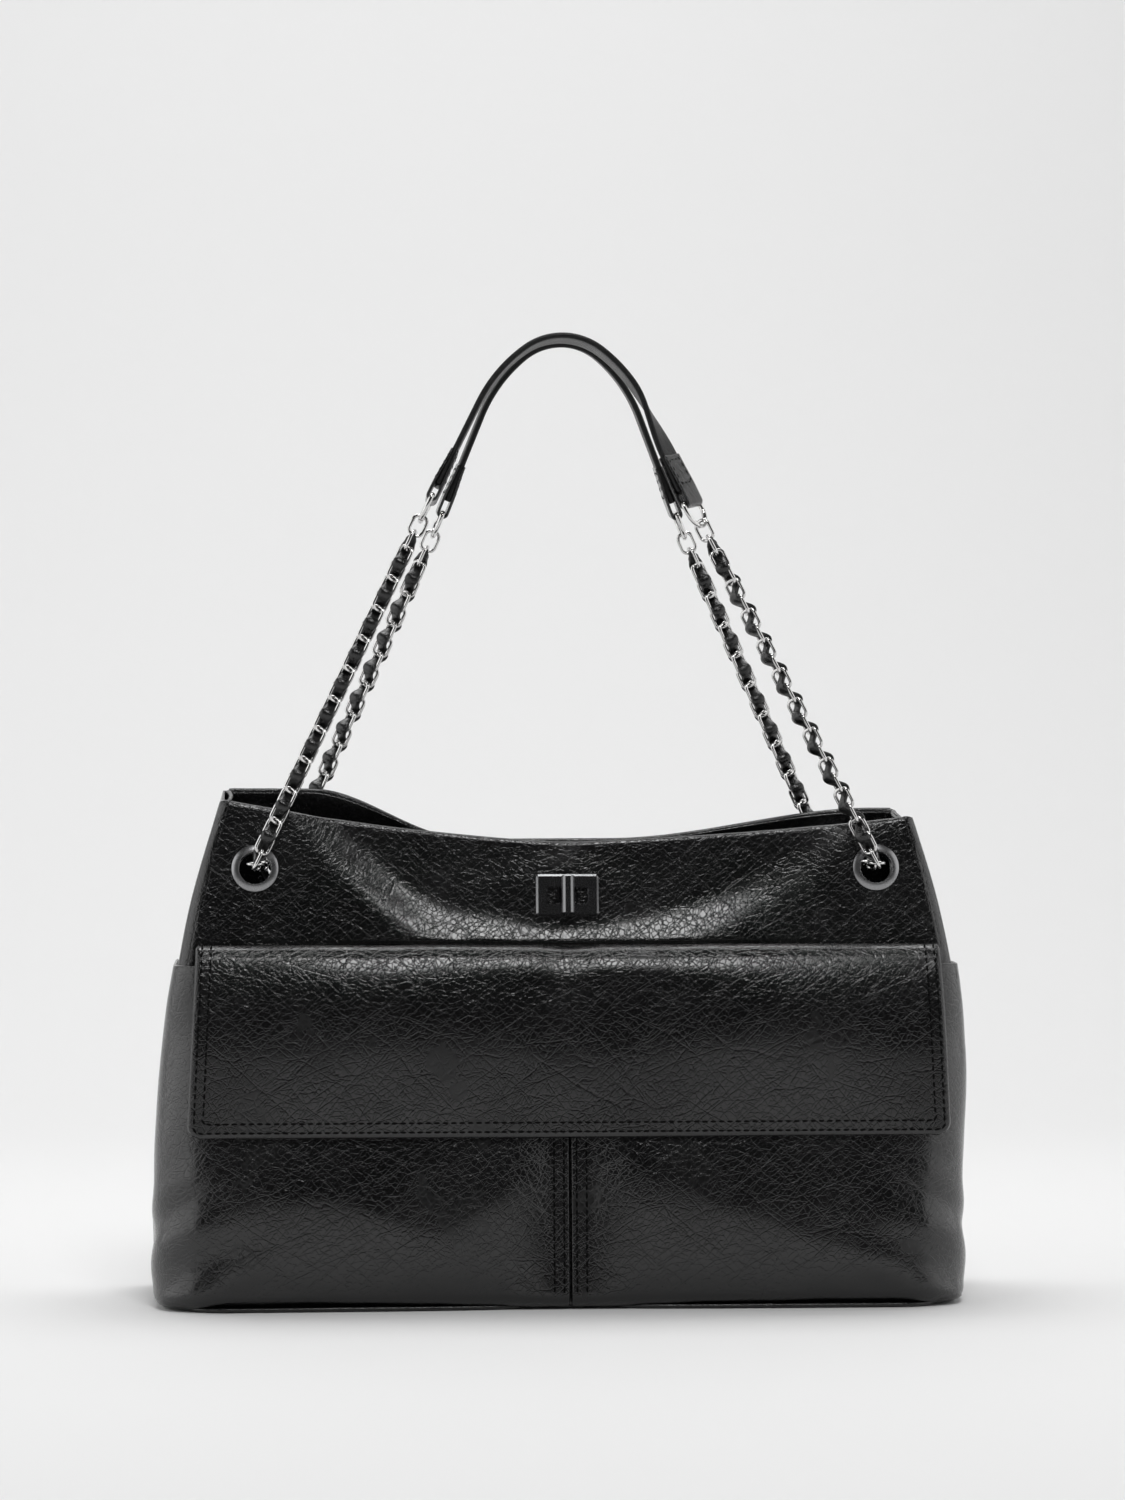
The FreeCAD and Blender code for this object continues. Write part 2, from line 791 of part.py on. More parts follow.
def handle_pose(foot_x, links, arch, sway, twist):
    """How a handle stands on its legs: their slopes, and the strap's place and tilt."""
    slant = arch["slant"]
    bar = bar_point(arch, 1)
    reach = bar.x + ring_rise() * math.sin(slant)
    length = leg_length(links)
    tilt = 0.0
    for i in range(pose_rounds):
        left_run = foot_x + sway - reach * math.cos(tilt)
        right_run = foot_x - sway - reach * math.cos(tilt)
        left_rise = math.sqrt(length ** 2 - left_run ** 2)
        right_rise = math.sqrt(length ** 2 - right_run ** 2)
        tilt = math.asin((right_rise - left_rise) * half / reach)
    middle = Placement(Vector(sway, 0, (left_rise + right_rise) * half),
                       Rotation(y_axis, -math.degrees(tilt)))
    up = Placement(Vector(0, 0, ring_rise() * math.cos(slant) - bar.z), Rotation())
    slopes = {-1: math.degrees(math.atan2(left_run, left_rise)),
              1: math.degrees(math.atan2(right_run, right_rise))}
    return {
        "foot_x": foot_x,
        "links": links,
        "arch": arch,
        "slopes": slopes,
        "hooks": middle,
        "strap": middle.multiply(up),
        "spins": {-1: 0.0, 1: -twist},
    }


def leg_frame(pose, side):
    """One leg inside the handle: local Z runs up the chain from its pivot."""
    foot = Vector(side * pose["foot_x"], 0, 0)
    return Placement(foot, Rotation(y_axis, -side * pose["slopes"][side]))


def leg_rolls(pose, side):
    """The turn of each link about the leg; the last but one stands square to its neighbours."""
    rolls = [link_roll * (1 if i % 2 == 0 else -1) for i in range(pose["links"])]
    rolls[0] = foot_link_roll
    rolls[-1] = side * pose["spins"][side]
    rolls[-2] = (rolls[-3] + rolls[-1]) * half + quarter_turn
    return rolls


def leg_chain(link, pose, side):
    links = []
    frame = leg_frame(pose, side)
    first = (link_pitch + link_gap - link_wire) * half - foot_gap
    for i, roll in enumerate(leg_rolls(pose, side)):
        place = Placement(Vector(0, 0, first + i * link_pitch), Rotation(z_axis, side * roll))
        links.append(placed(link, frame.multiply(place)))
    return Part.makeCompound(links)


def weave_edges(shift, links):
    """The lace's run seen from the side, over one joint of the chain and under the next."""
    points = []
    first_joint = link_gap * half - foot_gap - link_wire * half
    for joint in range(lace_first_joint, links - lace_free_links + 1):
        reach = lace_reach if joint % 2 == 0 else -lace_reach
        points.append(Vector(0, -reach + shift, first_joint + joint * link_pitch))
    first = (points[0] + points[1]) * half
    last = (points[-1] + points[-2]) * half
    edges = []
    here = first
    for i in range(1, len(points) - 1):
        before = (points[i - 1] - points[i]).normalize()
        after = (points[i + 1] - points[i]).normalize()
        opening = before.getAngle(after)
        setback = lace_bend_radius / math.tan(opening * half)
        start = points[i] + before * setback
        end = points[i] + after * setback
        inward = (before + after).normalize()
        depth = lace_bend_radius / math.sin(opening * half) - lace_bend_radius
        edges.append(line(here, start))
        edges.append(arc(start, points[i] + inward * depth, end))
        here = end
    edges.append(line(here, last))
    return edges, first, last


def lace(links):
    upper, up_first, up_last = weave_edges(-lace_thickness * half, links)
    lower, low_first, low_last = weave_edges(lace_thickness * half, links)
    edges = upper + [line(up_last, low_last)] + lower + [line(low_first, up_first)]
    face = face_of(Part.__sortEdges__(edges))
    band = face.extrude(Vector(lace_width, 0, 0))
    band.translate(Vector(-lace_width * half, 0, 0))
    return band


def ring_rise():
    """From the chain's top bend up to the middle of the ring's bar."""
    bow = (ring_inside_width + ring_wire) * half
    return bow + ring_side + ring_corner_radius - (link_wire + ring_wire) * half - ring_gap


def d_ring():
    """A D-ring in the plane of Y and Z, its bar on Y through the origin, its bow below."""
    radius = ring_wire * half
    bow = (ring_inside_width + ring_wire) * half
    flat = bow - ring_corner_radius
    pieces = [rod(Vector(0, -flat, 0), Vector(0, flat, 0), radius)]
    low = -ring_side - ring_corner_radius
    for s in (-1, 1):
        pieces.append(bend(Vector(0, s * flat, 0), Vector(0, s * flat, -ring_corner_radius),
                           x_axis * -s, quarter_turn, y_axis, radius))
        pieces.append(rod(Vector(0, s * bow, -ring_corner_radius), Vector(0, s * bow, low), radius))
    pieces.append(bend(Vector(0, bow, low), Vector(0, 0, low), x_axis * -1, half_turn, z_axis, radius))
    return one_solid(pieces[0].multiFuse(pieces[1:]).removeSplitter())


def ring_frame(pose, side):
    """The ring's bar in the strap's own frame, turned with the strap's end."""
    slant = math.degrees(pose["arch"]["slant"])
    bar = Placement(bar_point(pose["arch"], side), Rotation(y_axis, -side * slant))
    return bar.multiply(Placement(origin, Rotation(z_axis, pose["spins"][side])))


def end_tab():
    """Leather folded round the bar, its two tails sewn over the strap's end."""
    inner = ring_wire * half + tab_bar_gap
    outer = inner + tab_thickness
    reach = strap_width * half

    def hairpin(radius):
        edges = [
            arc(Vector(radius, 0, 0), Vector(0, 0, -radius), Vector(-radius, 0, 0)),
            line(Vector(-radius, 0, 0), Vector(-radius, 0, tab_length)),
            line(Vector(-radius, 0, tab_length), Vector(radius, 0, tab_length)),
            line(Vector(radius, 0, tab_length), Vector(radius, 0, 0)),
        ]
        face = face_of(edges)
        face.translate(Vector(0, -reach, 0))
        return face.extrude(Vector(0, strap_width, 0))

    return one_solid(hairpin(outer).cut(hairpin(inner)))


def strap_section(place):
    """The strap's flat section across a frame whose local Z runs along the strap."""
    thick = strap_thickness * half
    wide = strap_width * half
    corners = ((-thick, -wide), (thick, -wide), (thick, wide), (-thick, wide))
    points = [place.multVec(Vector(x, y, 0)) for x, y in corners]
    return Part.makePolygon(points + points[:1])


def strap_run(arch, stand):
    """One long side of the strap's bend from left to right, stood off its middle."""
    crown = arch["crown_turn"]
    foot = arch["foot_turn"]
    stops = [(-1, foot), (-1, (foot + crown) * half), (-1, crown), (1, 0.0),
             (1, crown), (1, (foot + crown) * half), (1, foot)]
    points = [arch_point(arch, side, turn, stand) for side, turn in stops]
    return [arc(*points[i:i + 3]) for i in (0, 2, 4)]


def strap(pose):
    """A band: straight out of each tab and over its bend; its right end may be twisted."""
    left = ring_frame(pose, -1)
    right = ring_frame(pose, 1)
    thick = strap_thickness * half
    edges = []
    for stand in (-thick, thick):
        edges += strap_run(pose["arch"], stand)
    low = [left.multVec(Vector(x, 0, strap_end_setback)) for x in (thick, -thick)]
    feet = {}
    for side in (-1, 1):
        feet[side] = [arch_point(pose["arch"], side, pose["arch"]["foot_turn"], x) for x in (-thick, thick)]
    edges += [line(feet[1][0], feet[1][1]), line(feet[-1][1], low[1]), line(low[1], low[0]),
              line(low[0], feet[-1][0])]
    edges = Part.__sortEdges__(edges)
    face = face_of(edges)
    face.translate(Vector(0, -strap_width * half, 0))
    band = face.extrude(Vector(0, strap_width, 0))
    run = strap_straight - tab_length
    sections = []
    for i in range(strap_twist_steps + 1):
        share = i / strap_twist_steps
        turn = Rotation(z_axis, -pose["spins"][1] * share)
        place = Placement(Vector(0, 0, tab_length + run * share), turn)
        sections.append(strap_section(right.multiply(place)))
    twisted = Part.makeLoft(sections, True, False)
    end_place = right.multiply(Placement(Vector(0, 0, strap_end_setback), Rotation()))
    end = Part.Face(strap_section(end_place))
    direction = right.Rotation.multVec(z_axis)
    end = end.extrude(direction * (tab_length - strap_end_setback))
    return one_solid(band.fuse([twisted, end]).removeSplitter())


def handle_shapes(pose):
    """One handle in its own frame, upright on the line of its two pivots."""
    link = chain_link()
    ring = d_ring()
    tab = end_tab()
    shapes = {"strap": placed(strap(pose), pose["strap"])}
    for side, word in ((-1, "left"), (1, "right")):
        end = pose["strap"].multiply(ring_frame(pose, side))
        shapes["chain_" + word] = leg_chain(link, pose, side)
        shapes["lace_" + word] = placed(lace(pose["links"]), leg_frame(pose, side))
        shapes["d_ring_" + word] = placed(ring, end)
        shapes["tab_" + word] = placed(tab, end)
    return shapes


def front_pose():
    arch = strap_arch(front_strap_slant, front_crown_turn)
    return handle_pose(eyelet_x, front_leg_links, arch, front_sway, strap_twist)


def rear_pose():
    arch = strap_arch(rear_strap_slant, rear_crown_turn)
    return handle_pose(rear_pivot_x(), rear_leg_links, arch, rear_sway, 0.0)


def handle_nodes():
    """Both handles in the bag's frame; the rear one leans the other way."""
    nodes = {}
    for name, shape in handle_shapes(front_pose()).items():
        nodes["front_" + name] = placed(shape, handle_place())
    for name, shape in handle_shapes(rear_pose()).items():
        nodes["rear_" + name] = placed(shape, handle_place()).mirror(origin, y_axis)
    for side, word in ((-1, "left"), (1, "right")):
        nodes["inner_chain_" + word] = inner_span(chain_link(), side)
    return nodes


def main():
    nodes = {}
    nodes.update(body_nodes())
    nodes.update(pocket_nodes())
    nodes["pocket_flap"] = pocket_flap()
    nodes.update(eyelet_nodes())
    nodes.update(lock_nodes())
    nodes.update(handle_nodes())
    os.makedirs("parts", exist_ok=True)
    for name, shape in nodes.items():
        shape.exportStep("parts/" + name + ".step")


main()
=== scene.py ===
# %% [markdown]
# # A chain shoulder bag, dressed over its CAD frame
#
# The CAD frame holds the pieces, their places and their joints.
# This script gives the soft pieces their real, slightly slumped shapes,
# threads the laces through the chains and lights the bag like the photograph.
# Every length is in metres, in the frame of the CAD.

import math

import bmesh
import bpy
import numpy as np
from mathutils import Matrix, Vector, noise


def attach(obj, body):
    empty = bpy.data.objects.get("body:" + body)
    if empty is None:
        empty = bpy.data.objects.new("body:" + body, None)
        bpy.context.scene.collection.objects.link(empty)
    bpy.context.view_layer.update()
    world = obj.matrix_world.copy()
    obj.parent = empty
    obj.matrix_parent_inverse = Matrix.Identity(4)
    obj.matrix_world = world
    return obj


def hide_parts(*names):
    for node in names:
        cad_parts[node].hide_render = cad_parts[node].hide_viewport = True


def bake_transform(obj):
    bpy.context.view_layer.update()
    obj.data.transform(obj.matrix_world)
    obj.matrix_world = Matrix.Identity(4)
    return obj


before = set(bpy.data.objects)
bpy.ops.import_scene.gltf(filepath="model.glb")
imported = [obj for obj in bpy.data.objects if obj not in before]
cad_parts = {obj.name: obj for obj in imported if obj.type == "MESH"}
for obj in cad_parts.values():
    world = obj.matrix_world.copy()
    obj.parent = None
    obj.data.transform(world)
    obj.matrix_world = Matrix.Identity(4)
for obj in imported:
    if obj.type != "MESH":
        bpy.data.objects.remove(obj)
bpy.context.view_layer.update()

# %% [markdown]
# ## Sizes shared by the soft pieces
#
# The bag narrows upwards along a curved flank, and its walls lean in. These curves could be
# measured on the CAD meshes, but a few named sizes and short rules are easier to follow. They
# repeat what the CAD says, so each soft piece lies where its solid lies.

# %% Sizes
HALF_WIDTH = 0.210
FLANK_START = 0.050
FLANK_RADIUS = 0.7268
WALL_FOOT = 0.06068
WALL_LEAN = 0.126923
POCKET_FOOT = 0.065
POCKET_LEAN = 0.063953
POCKET_TOP = 0.172
MOUTH_CORNER = 0.260
EYELET_X = 0.1585
BACK_EYELET_X = 0.144224
EYELET_Z = 0.221
LOCK_Z = 0.207
LEATHER = 0.002
PANEL_FOOT = 0.003
CORNER_EASE = 0.013
DRAWN_IN = 0.0065
MIRROR_X = (-1.0, 1.0, 1.0)
SIDES = {-1: "left", 1: "right"}


def step(x, low, high):
    """A smooth step from 0 at low to 1 at high."""
    t = np.clip((x - low) / (high - low), 0.0, 1.0)
    return t * t * (3.0 - 2.0 * t)


def flank(z):
    """Half the bag's width at a height."""
    rise = np.maximum(z, FLANK_START) - FLANK_START
    return HALF_WIDTH - FLANK_RADIUS + np.sqrt(FLANK_RADIUS ** 2 - rise ** 2)


def wall(z):
    """Half the depth at the outer face of the main panels."""
    return WALL_FOOT - WALL_LEAN * z


def pocket(z):
    """How far the pocket panels stand forward."""
    return POCKET_FOOT - POCKET_LEAN * z


def corner_ease(z):
    """How much more the leather rounds the front corners below the pocket mouth."""
    return CORNER_EASE * (1.0 - step(z, 0.130, 0.174))


def draw_in(points):
    """The standing bag leans in a little at its lower right."""
    low = 1.0 - step(points[..., 2], 0.050, 0.150)
    right = np.maximum(points[..., 0], 0.0) / HALF_WIDTH
    moved_in = points.copy()
    moved_in[..., 0] -= DRAWN_IN * low * right
    return moved_in


def swell(points, size, shift=0.0):
    """Smooth noise at each point, about -1 to 1; size is the width of one swell."""
    flat = points.reshape(-1, 3) / size + np.array([shift, 1.7 * shift, -shift])
    return np.array([noise.noise(Vector(p)) for p in flat]).reshape(points.shape[:-1])


print("half width at the mouth corners:", round(float(flank(MOUTH_CORNER)), 4))

# %% [markdown]
# ## Materials
#
# The real leather is black with a glossy coat, and it crinkles from long creases down to a fine
# crackle. An image could show that, but node patterns need no file and fit every piece. So each
# layer is a net of thin broken lines, drawn out along its own slope, over a fine grain.

# %% Node helpers
def fill_inputs(tree, node, inputs):
    """Links an input that is given another node's socket, and sets any other to its value."""
    for name, value in inputs.items():
        if isinstance(value, bpy.types.NodeSocket):
            tree.links.new(value, node.inputs[name])
        else:
            node.inputs[name].default_value = value


def add_node(tree, kind, inputs, **settings):
    node = tree.nodes.new(kind)
    for name, value in settings.items():
        setattr(node, name, value)
    fill_inputs(tree, node, inputs)
    return node


def new_material(name):
    material = bpy.data.materials.new(name)
    material.use_nodes = True
    return material, material.node_tree


def object_coords(tree):
    return tree.nodes.new("ShaderNodeTexCoord").outputs["Object"]


def math_node(tree, operation, first, second):
    return add_node(tree, "ShaderNodeMath", {0: first, 1: second}, operation=operation).outputs[0]


def noise_node(tree, vector, scale, detail):
    inputs = {"Vector": vector, "Scale": scale, "Detail": detail}
    return add_node(tree, "ShaderNodeTexNoise", inputs).outputs


def ramp_node(tree, value, low, high, start=0.0, stop=1.0):
    inputs = {"Value": value, "From Min": low, "From Max": high, "To Min": start, "To Max": stop}
    return add_node(tree, "ShaderNodeMapRange", inputs, interpolation_type="SMOOTHSTEP").outputs["Result"]


def bump_node(tree, height, strength, distance, **below):
    """A bump; below may hold the Normal of another bump that lies under it."""
    inputs = {"Height": height, "Strength": strength, "Distance": distance, **below}
    return add_node(tree, "ShaderNodeBump", inputs).outputs["Normal"]


print("node helpers ready in Blender", bpy.app.version_string)

# %% Leather
BLACK = (0.0022, 0.0022, 0.0024)
LACE_BLACK = (0.003, 0.003, 0.003)
COAT_ROUGHNESS = 0.16
CREASE_DEPTH = 0.00012
GRAIN_DEPTH = 0.0001
# Turn of a layer's lines, stretch along them, cells in a metre, width of a line in cells.
CRACKLE_LAYERS = (
    ((0.0, 0.75, 0.0), 3.2, 200.0, 0.050),
    ((0.2, -0.65, 0.2), 3.0, 240.0, 0.060),
    ((0.0, 0.95, 0.0), 4.0, 75.0, 0.022),
    ((0.0, -0.80, 0.0), 4.5, 60.0, 0.018),
    ((0.4, 0.5, -0.3), 1.5, 380.0, 0.090),
)


def crackle_layer(tree, coords, turn, stretch, scale, width):
    """A height that falls to 0 in thin, broken lines; 1 elsewhere."""
    drawn_out = {"Vector": coords, "Rotation": turn, "Scale": (1.0, 1.0, stretch)}
    run = add_node(tree, "ShaderNodeMapping", drawn_out, vector_type="TEXTURE").outputs["Vector"]
    wobble = noise_node(tree, run, scale * 0.9, 3.0)["Color"]
    bent = {0: wobble, 1: [0.35 / scale] * 3, 2: run}
    bent = add_node(tree, "ShaderNodeVectorMath", bent, operation="MULTIPLY_ADD").outputs["Vector"]
    cells = {"Vector": bent, "Scale": scale}
    cells = add_node(tree, "ShaderNodeTexVoronoi", cells, feature="DISTANCE_TO_EDGE").outputs["Distance"]
    lines = ramp_node(tree, cells, 0.0, width)
    gaps = ramp_node(tree, noise_node(tree, coords, scale * 0.35, 2.0)["Fac"], 0.52, 0.80)
    return math_node(tree, "MAXIMUM", lines, gaps)


def leather_material(name, colour, roughness, coat, crinkle, specular=0.5):
    material, tree = new_material(name)
    coords = object_coords(tree)
    layers = [crackle_layer(tree, coords, *layer) for layer in CRACKLE_LAYERS]
    height = layers[0]
    for layer in layers[1:]:
        height = math_node(tree, "ADD", height, layer)
    creases = bump_node(tree, height, crinkle, CREASE_DEPTH)
    grain = noise_node(tree, coords, 750.0, 3.0)["Fac"]
    normal = bump_node(tree, grain, 0.11, GRAIN_DEPTH, Normal=creases)
    patches = noise_node(tree, coords, 28.0, 4.0)["Fac"]
    look = {
        "Base Color": (*colour, 1.0),
        "Specular IOR Level": specular,
        "Roughness": ramp_node(tree, patches, 0.3, 0.7, roughness - 0.04, roughness + 0.05),
        "Normal": normal,
        "Coat Weight": coat,
        "Coat Roughness": COAT_ROUGHNESS,
        "Coat Normal": normal,
    }
    fill_inputs(tree, tree.nodes["Principled BSDF"], look)
    return material


leather = leather_material("crinkled_leather", BLACK, 0.23, 0.35, 0.46)
strap_leather = leather_material("strap_leather", BLACK, 0.36, 0.0, 0.46, specular=0.3)
lace_leather = leather_material("lace_leather", LACE_BLACK, 0.28, 0.2, 0.35)
print("leather:", len(leather.node_tree.nodes), "nodes")

# %% Metal and cloth
def metal_material(name, colour, roughness, wear):
    """Bare metal that is a little smeared, so its shine is not even."""
    material, tree = new_material(name)
    smear = noise_node(tree, object_coords(tree), 240.0, 4.0)["Fac"]
    rough = {"Value": smear, "To Min": roughness - wear, "To Max": roughness + wear}
    look = {
        "Base Color": (*colour, 1.0),
        "Metallic": 1.0,
        "Roughness": add_node(tree, "ShaderNodeMapRange", rough).outputs["Result"],
        "Normal": bump_node(tree, smear, 0.08, 0.0001),
    }
    fill_inputs(tree, tree.nodes["Principled BSDF"], look)
    return material


def cloth_material(name, colour, specular=0.5):
    material, tree = new_material(name)
    weave = {"Vector": object_coords(tree), "Scale": 500.0, "Distortion": 0.6}
    weave = add_node(tree, "ShaderNodeTexWave", weave).outputs["Fac"]
    look = {
        "Base Color": (*colour, 1.0),
        "Roughness": 0.85,
        "Specular IOR Level": specular,
        "Normal": bump_node(tree, weave, 0.3, 0.0003),
    }
    fill_inputs(tree, tree.nodes["Principled BSDF"], look)
    return material


nickel = metal_material("bright_nickel", (0.64, 0.635, 0.63), 0.12, 0.04)
gunmetal = metal_material("dark_gunmetal", (0.20, 0.20, 0.205), 0.20, 0.04)
eyelet_metal = metal_material("satin_eyelet", (0.28, 0.28, 0.285), 0.28, 0.05)
lining_cloth = cloth_material("lining_cloth", (0.012, 0.012, 0.013))
thread = cloth_material("black_thread", (0.002, 0.002, 0.002), specular=0.1)
print("materials:", len(bpy.data.materials))

# %% [markdown]
# ## One tool for every leather sheet
#
# A bag is cut from flat leather. Each sheet could be a plane with Solidify and Boolean modifiers,
# but a grid of points for the outer face is exact and quick. The tool adds the inner face,
# rounds the rim and leaves clean round holes where hardware passes through.

# %% Mesh helpers
def unit(vectors):
    return vectors / np.maximum(np.linalg.norm(vectors, axis=-1, keepdims=True), 1e-12)


def grid_normals(grid):
    return unit(np.cross(np.gradient(grid, axis=0), np.gradient(grid, axis=1)))


def build_mesh(name, verts, faces, material):
    mesh = bpy.data.meshes.new(name)
    mesh.from_pydata([tuple(v) for v in verts], [], faces)
    mesh.polygons.foreach_set("use_smooth", [True] * len(mesh.polygons))
    mesh.materials.append(material)
    mesh.update()
    obj = bpy.data.objects.new(name, mesh)
    bpy.context.scene.collection.objects.link(obj)
    return obj


def dress(obj, body, nodes):
    """Lets a piece ride a body and stand for its CAD nodes, which are hidden."""
    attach(obj, body)
    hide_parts(*nodes)
    return obj


print("mesh helpers ready, for leather of", LEATHER, "m")

# %% Sheet tool
HOLE_EDGE_REACH = 1.8
RIM_ROUNDING = 0.42


def cut_holes(grid, holes):
    """Says which cells stay, and draws the points at a hole's edge on to its circle."""
    rows, cols = grid.shape[:2]
    centres = (grid[1:, 1:] + grid[:-1, 1:] + grid[1:, :-1] + grid[:-1, :-1]) / 4.0
    keep = np.ones((rows - 1, cols - 1), bool)
    for centre, radius in holes:
        keep &= np.linalg.norm(centres - np.array(centre), axis=-1) > radius
    touched = np.zeros((rows, cols), bool)
    solid = np.zeros((rows, cols), bool)
    for di in (0, 1):
        for dj in (0, 1):
            touched[di:rows - 1 + di, dj:cols - 1 + dj] |= ~keep
            solid[di:rows - 1 + di, dj:cols - 1 + dj] |= keep
    for centre, radius in holes:
        away = grid - np.array(centre)
        near = (np.linalg.norm(away, axis=-1) < HOLE_EDGE_REACH * radius) & touched & solid
        grid[near] = np.array(centre) + unit(away[near]) * radius
    return keep


def sheet(name, grid, thickness, material, holes=(), closed=False):
    """A sheet from the grid of its outer face; closed joins its last row to its first."""
    grid = np.array(grid, float)
    if closed:
        grid = np.concatenate([grid, grid[:1]], axis=0)
    keep = cut_holes(grid, holes)
    normal = grid_normals(grid)
    if closed:
        normal[0] = normal[-1] = unit(normal[0] + normal[-1])
    inner = grid - normal * thickness
    out = np.zeros_like(grid)
    if not closed:
        out[0] += unit(grid[0] - grid[1])
        out[-1] += unit(grid[-1] - grid[-2])
    out[:, 0] += unit(grid[:, 0] - grid[:, 1])
    out[:, -1] += unit(grid[:, -1] - grid[:, -2])
    middle = (grid + inner) / 2.0 + unit(out) * thickness * RIM_ROUNDING
    rows, cols = grid.shape[:2]
    count = rows * cols
    index = np.arange(count).reshape(rows, cols)
    if closed:
        index[-1] = index[0]
    faces, edges = [], {}
    for i, j in zip(*np.nonzero(keep)):
        a, b, c, d = index[[i, i + 1, i + 1, i], [j, j, j + 1, j + 1]].tolist()
        faces.append((a, b, c, d))
        faces.append((a + count, d + count, c + count, b + count))
        for edge in ((a, b), (b, c), (c, d), (d, a)):
            edges[edge] = True
    for a, b in edges:
        if (b, a) not in edges:
            faces.append((b, a, a + 2 * count, b + 2 * count))
            faces.append((b + 2 * count, a + 2 * count, a + count, b + count))
    verts = np.concatenate([grid.reshape(-1, 3), inner.reshape(-1, 3), middle.reshape(-1, 3)])
    used = sorted({v for f in faces for v in f})
    new_index = {v: k for k, v in enumerate(used)}
    faces = [tuple(new_index[v] for v in f) for f in faces]
    return build_mesh(name, verts[used], faces, material)


print("sheet tool ready, rims rounded by", RIM_ROUNDING, "of their thickness")

# %% [markdown]
# ## Front and back panels
#
# Each is a leaning sheet from the base to a sagging mouth edge. A cloth simulation could slump it,
# but written waves give the same shape each time. It stays flat where an eyelet or the lock is
# clamped to it. On the front a soft bend runs in a bow under the lock and catches the light.

# %% Panel edges
LOCK_CENTRE = np.array((0.0, -wall(LOCK_Z), LOCK_Z))
LOCK_FLAT = np.array((0.035, 1.0, 0.020))
MOUTH_REACH = 0.175
PANEL_INSET = 0.0075
FRONT_DIP = 0.2338
BACK_DIP = 0.2345
BEND_LOW = 0.187


def eyelet_centres(front):
    x, y = (EYELET_X, -wall(EYELET_Z)) if front else (BACK_EYELET_X, wall(EYELET_Z))
    return [(side * x, y, EYELET_Z) for side in SIDES]


def climb(x, start, height, reach, power):
    """Nothing up to start, then a curve that has risen by height after reach."""
    return height * (np.maximum(x - start, 0.0) / reach) ** power


def front_edge(x):
    """Height of the front mouth edge; it sags in the middle and stands lower on the right."""
    return FRONT_DIP + climb(-x, 0.0, 0.0207, 0.172, 1.4) + climb(x, 0.0, 0.0128, 0.176, 1.4)


def back_edge(x):
    """Height of the back mouth edge, drawn up at its eyelets."""
    return BACK_DIP + 0.026 * step(-x, 0.045, 0.132) + 0.0155 * step(x, 0.025, 0.165)


def mouth_top(x, y):
    """Height of the mouth edge anywhere round the bag."""
    back = step(y, -0.020, 0.020)
    return (1.0 - back) * front_edge(x) + back * back_edge(x)


def bend_height(x):
    """Height of the soft bend across the front panel: low under the lock, high at the sides."""
    return BEND_LOW + climb(-x, 0.050, 0.048, 0.070, 1.6) + climb(x, 0.042, 0.024, 0.065, 1.5)


def panel_grid(front):
    columns = np.linspace(-1.0, 1.0, 181)
    if not front:
        columns = columns[::-1]
    c, r = np.meshgrid(columns, np.linspace(0.0, 1.0, 121), indexing="ij")
    top = front_edge(c * MOUTH_REACH) if front else back_edge(c * MOUTH_REACH)
    z = PANEL_FOOT + (top - PANEL_FOOT) * r
    x = c * (flank(z) - PANEL_INSET - (corner_ease(z) if front else 0.0))
    y = wall(z) * (-1.0 if front else 1.0)
    return np.stack([x, y, z], axis=-1)


print("front mouth edge at its corners:", front_edge(np.array((-MOUTH_REACH, MOUTH_REACH))).round(4))

# %% Front and back panels
EYELET_HOLE = 0.0098
LOCK_HOLE = 0.0042
CLAMPED_WITHIN = 0.014
FREE_BEYOND = 0.034
SLOW_WAVE = 0.0020
SMALL_WAVE = 0.0005
HOLLOW = 0.0040
SHELF = 0.0058
BEND_HALF = 0.016


def flat_share(points, front):
    """1 on free leather, 0 under the eyelets and the lock."""
    share = np.ones(points.shape[:-1])
    for centre in eyelet_centres(front):
        away = np.linalg.norm(points - np.array(centre), axis=-1)
        share *= step(away, CLAMPED_WITHIN, FREE_BEYOND)
    if front:
        away = (points - LOCK_CENTRE) / LOCK_FLAT
        share *= 1.0 - np.exp(-(away[..., 0] ** 2 + away[..., 2] ** 2) ** 2)
    return share


def slump(points, front):
    """Outward movement of a panel: slow waves, and on the front a shelf below a soft bend."""
    x, z = points[..., 0], points[..., 2]
    in_plane = points * (1.0, 0.0, 1.0)
    high = step(z, 0.17, 0.25)
    waves = SLOW_WAVE * swell(in_plane, 0.11, 3.1 if front else 7.7)
    waves += SMALL_WAVE * swell(in_plane, 0.045, 1.3)
    hollow = -HOLLOW * high * (1.0 - np.clip(np.abs(x) / 0.15, 0, 1) ** 2)
    shelf = 0.0
    if front:
        bend = bend_height(x)
        above = step(z, bend - BEND_HALF, bend + BEND_HALF)
        full = SHELF * (1.0 - step(np.abs(x), 0.045, 0.125))
        drawn = 0.0014 + 0.0032 * step(-x, 0.045, 0.100) + 0.0012 * step(x, 0.045, 0.100)
        shelf = (full * (1.0 - above) - drawn * above) * step(z, 0.1800, 0.1835)
        hollow = 0.25 * hollow
    return (waves * (0.2 + 0.8 * high) + hollow + shelf) * flat_share(points, front)


def panel(name, front, node):
    grid = panel_grid(front)
    grid += grid_normals(grid) * slump(grid, front)[..., None]
    holes = [(centre, EYELET_HOLE) for centre in eyelet_centres(front)]
    if front:
        holes.append((LOCK_CENTRE, LOCK_HOLE))
    obj = sheet(name, draw_in(grid), LEATHER, leather, holes)
    return dress(obj, "bag", [node])


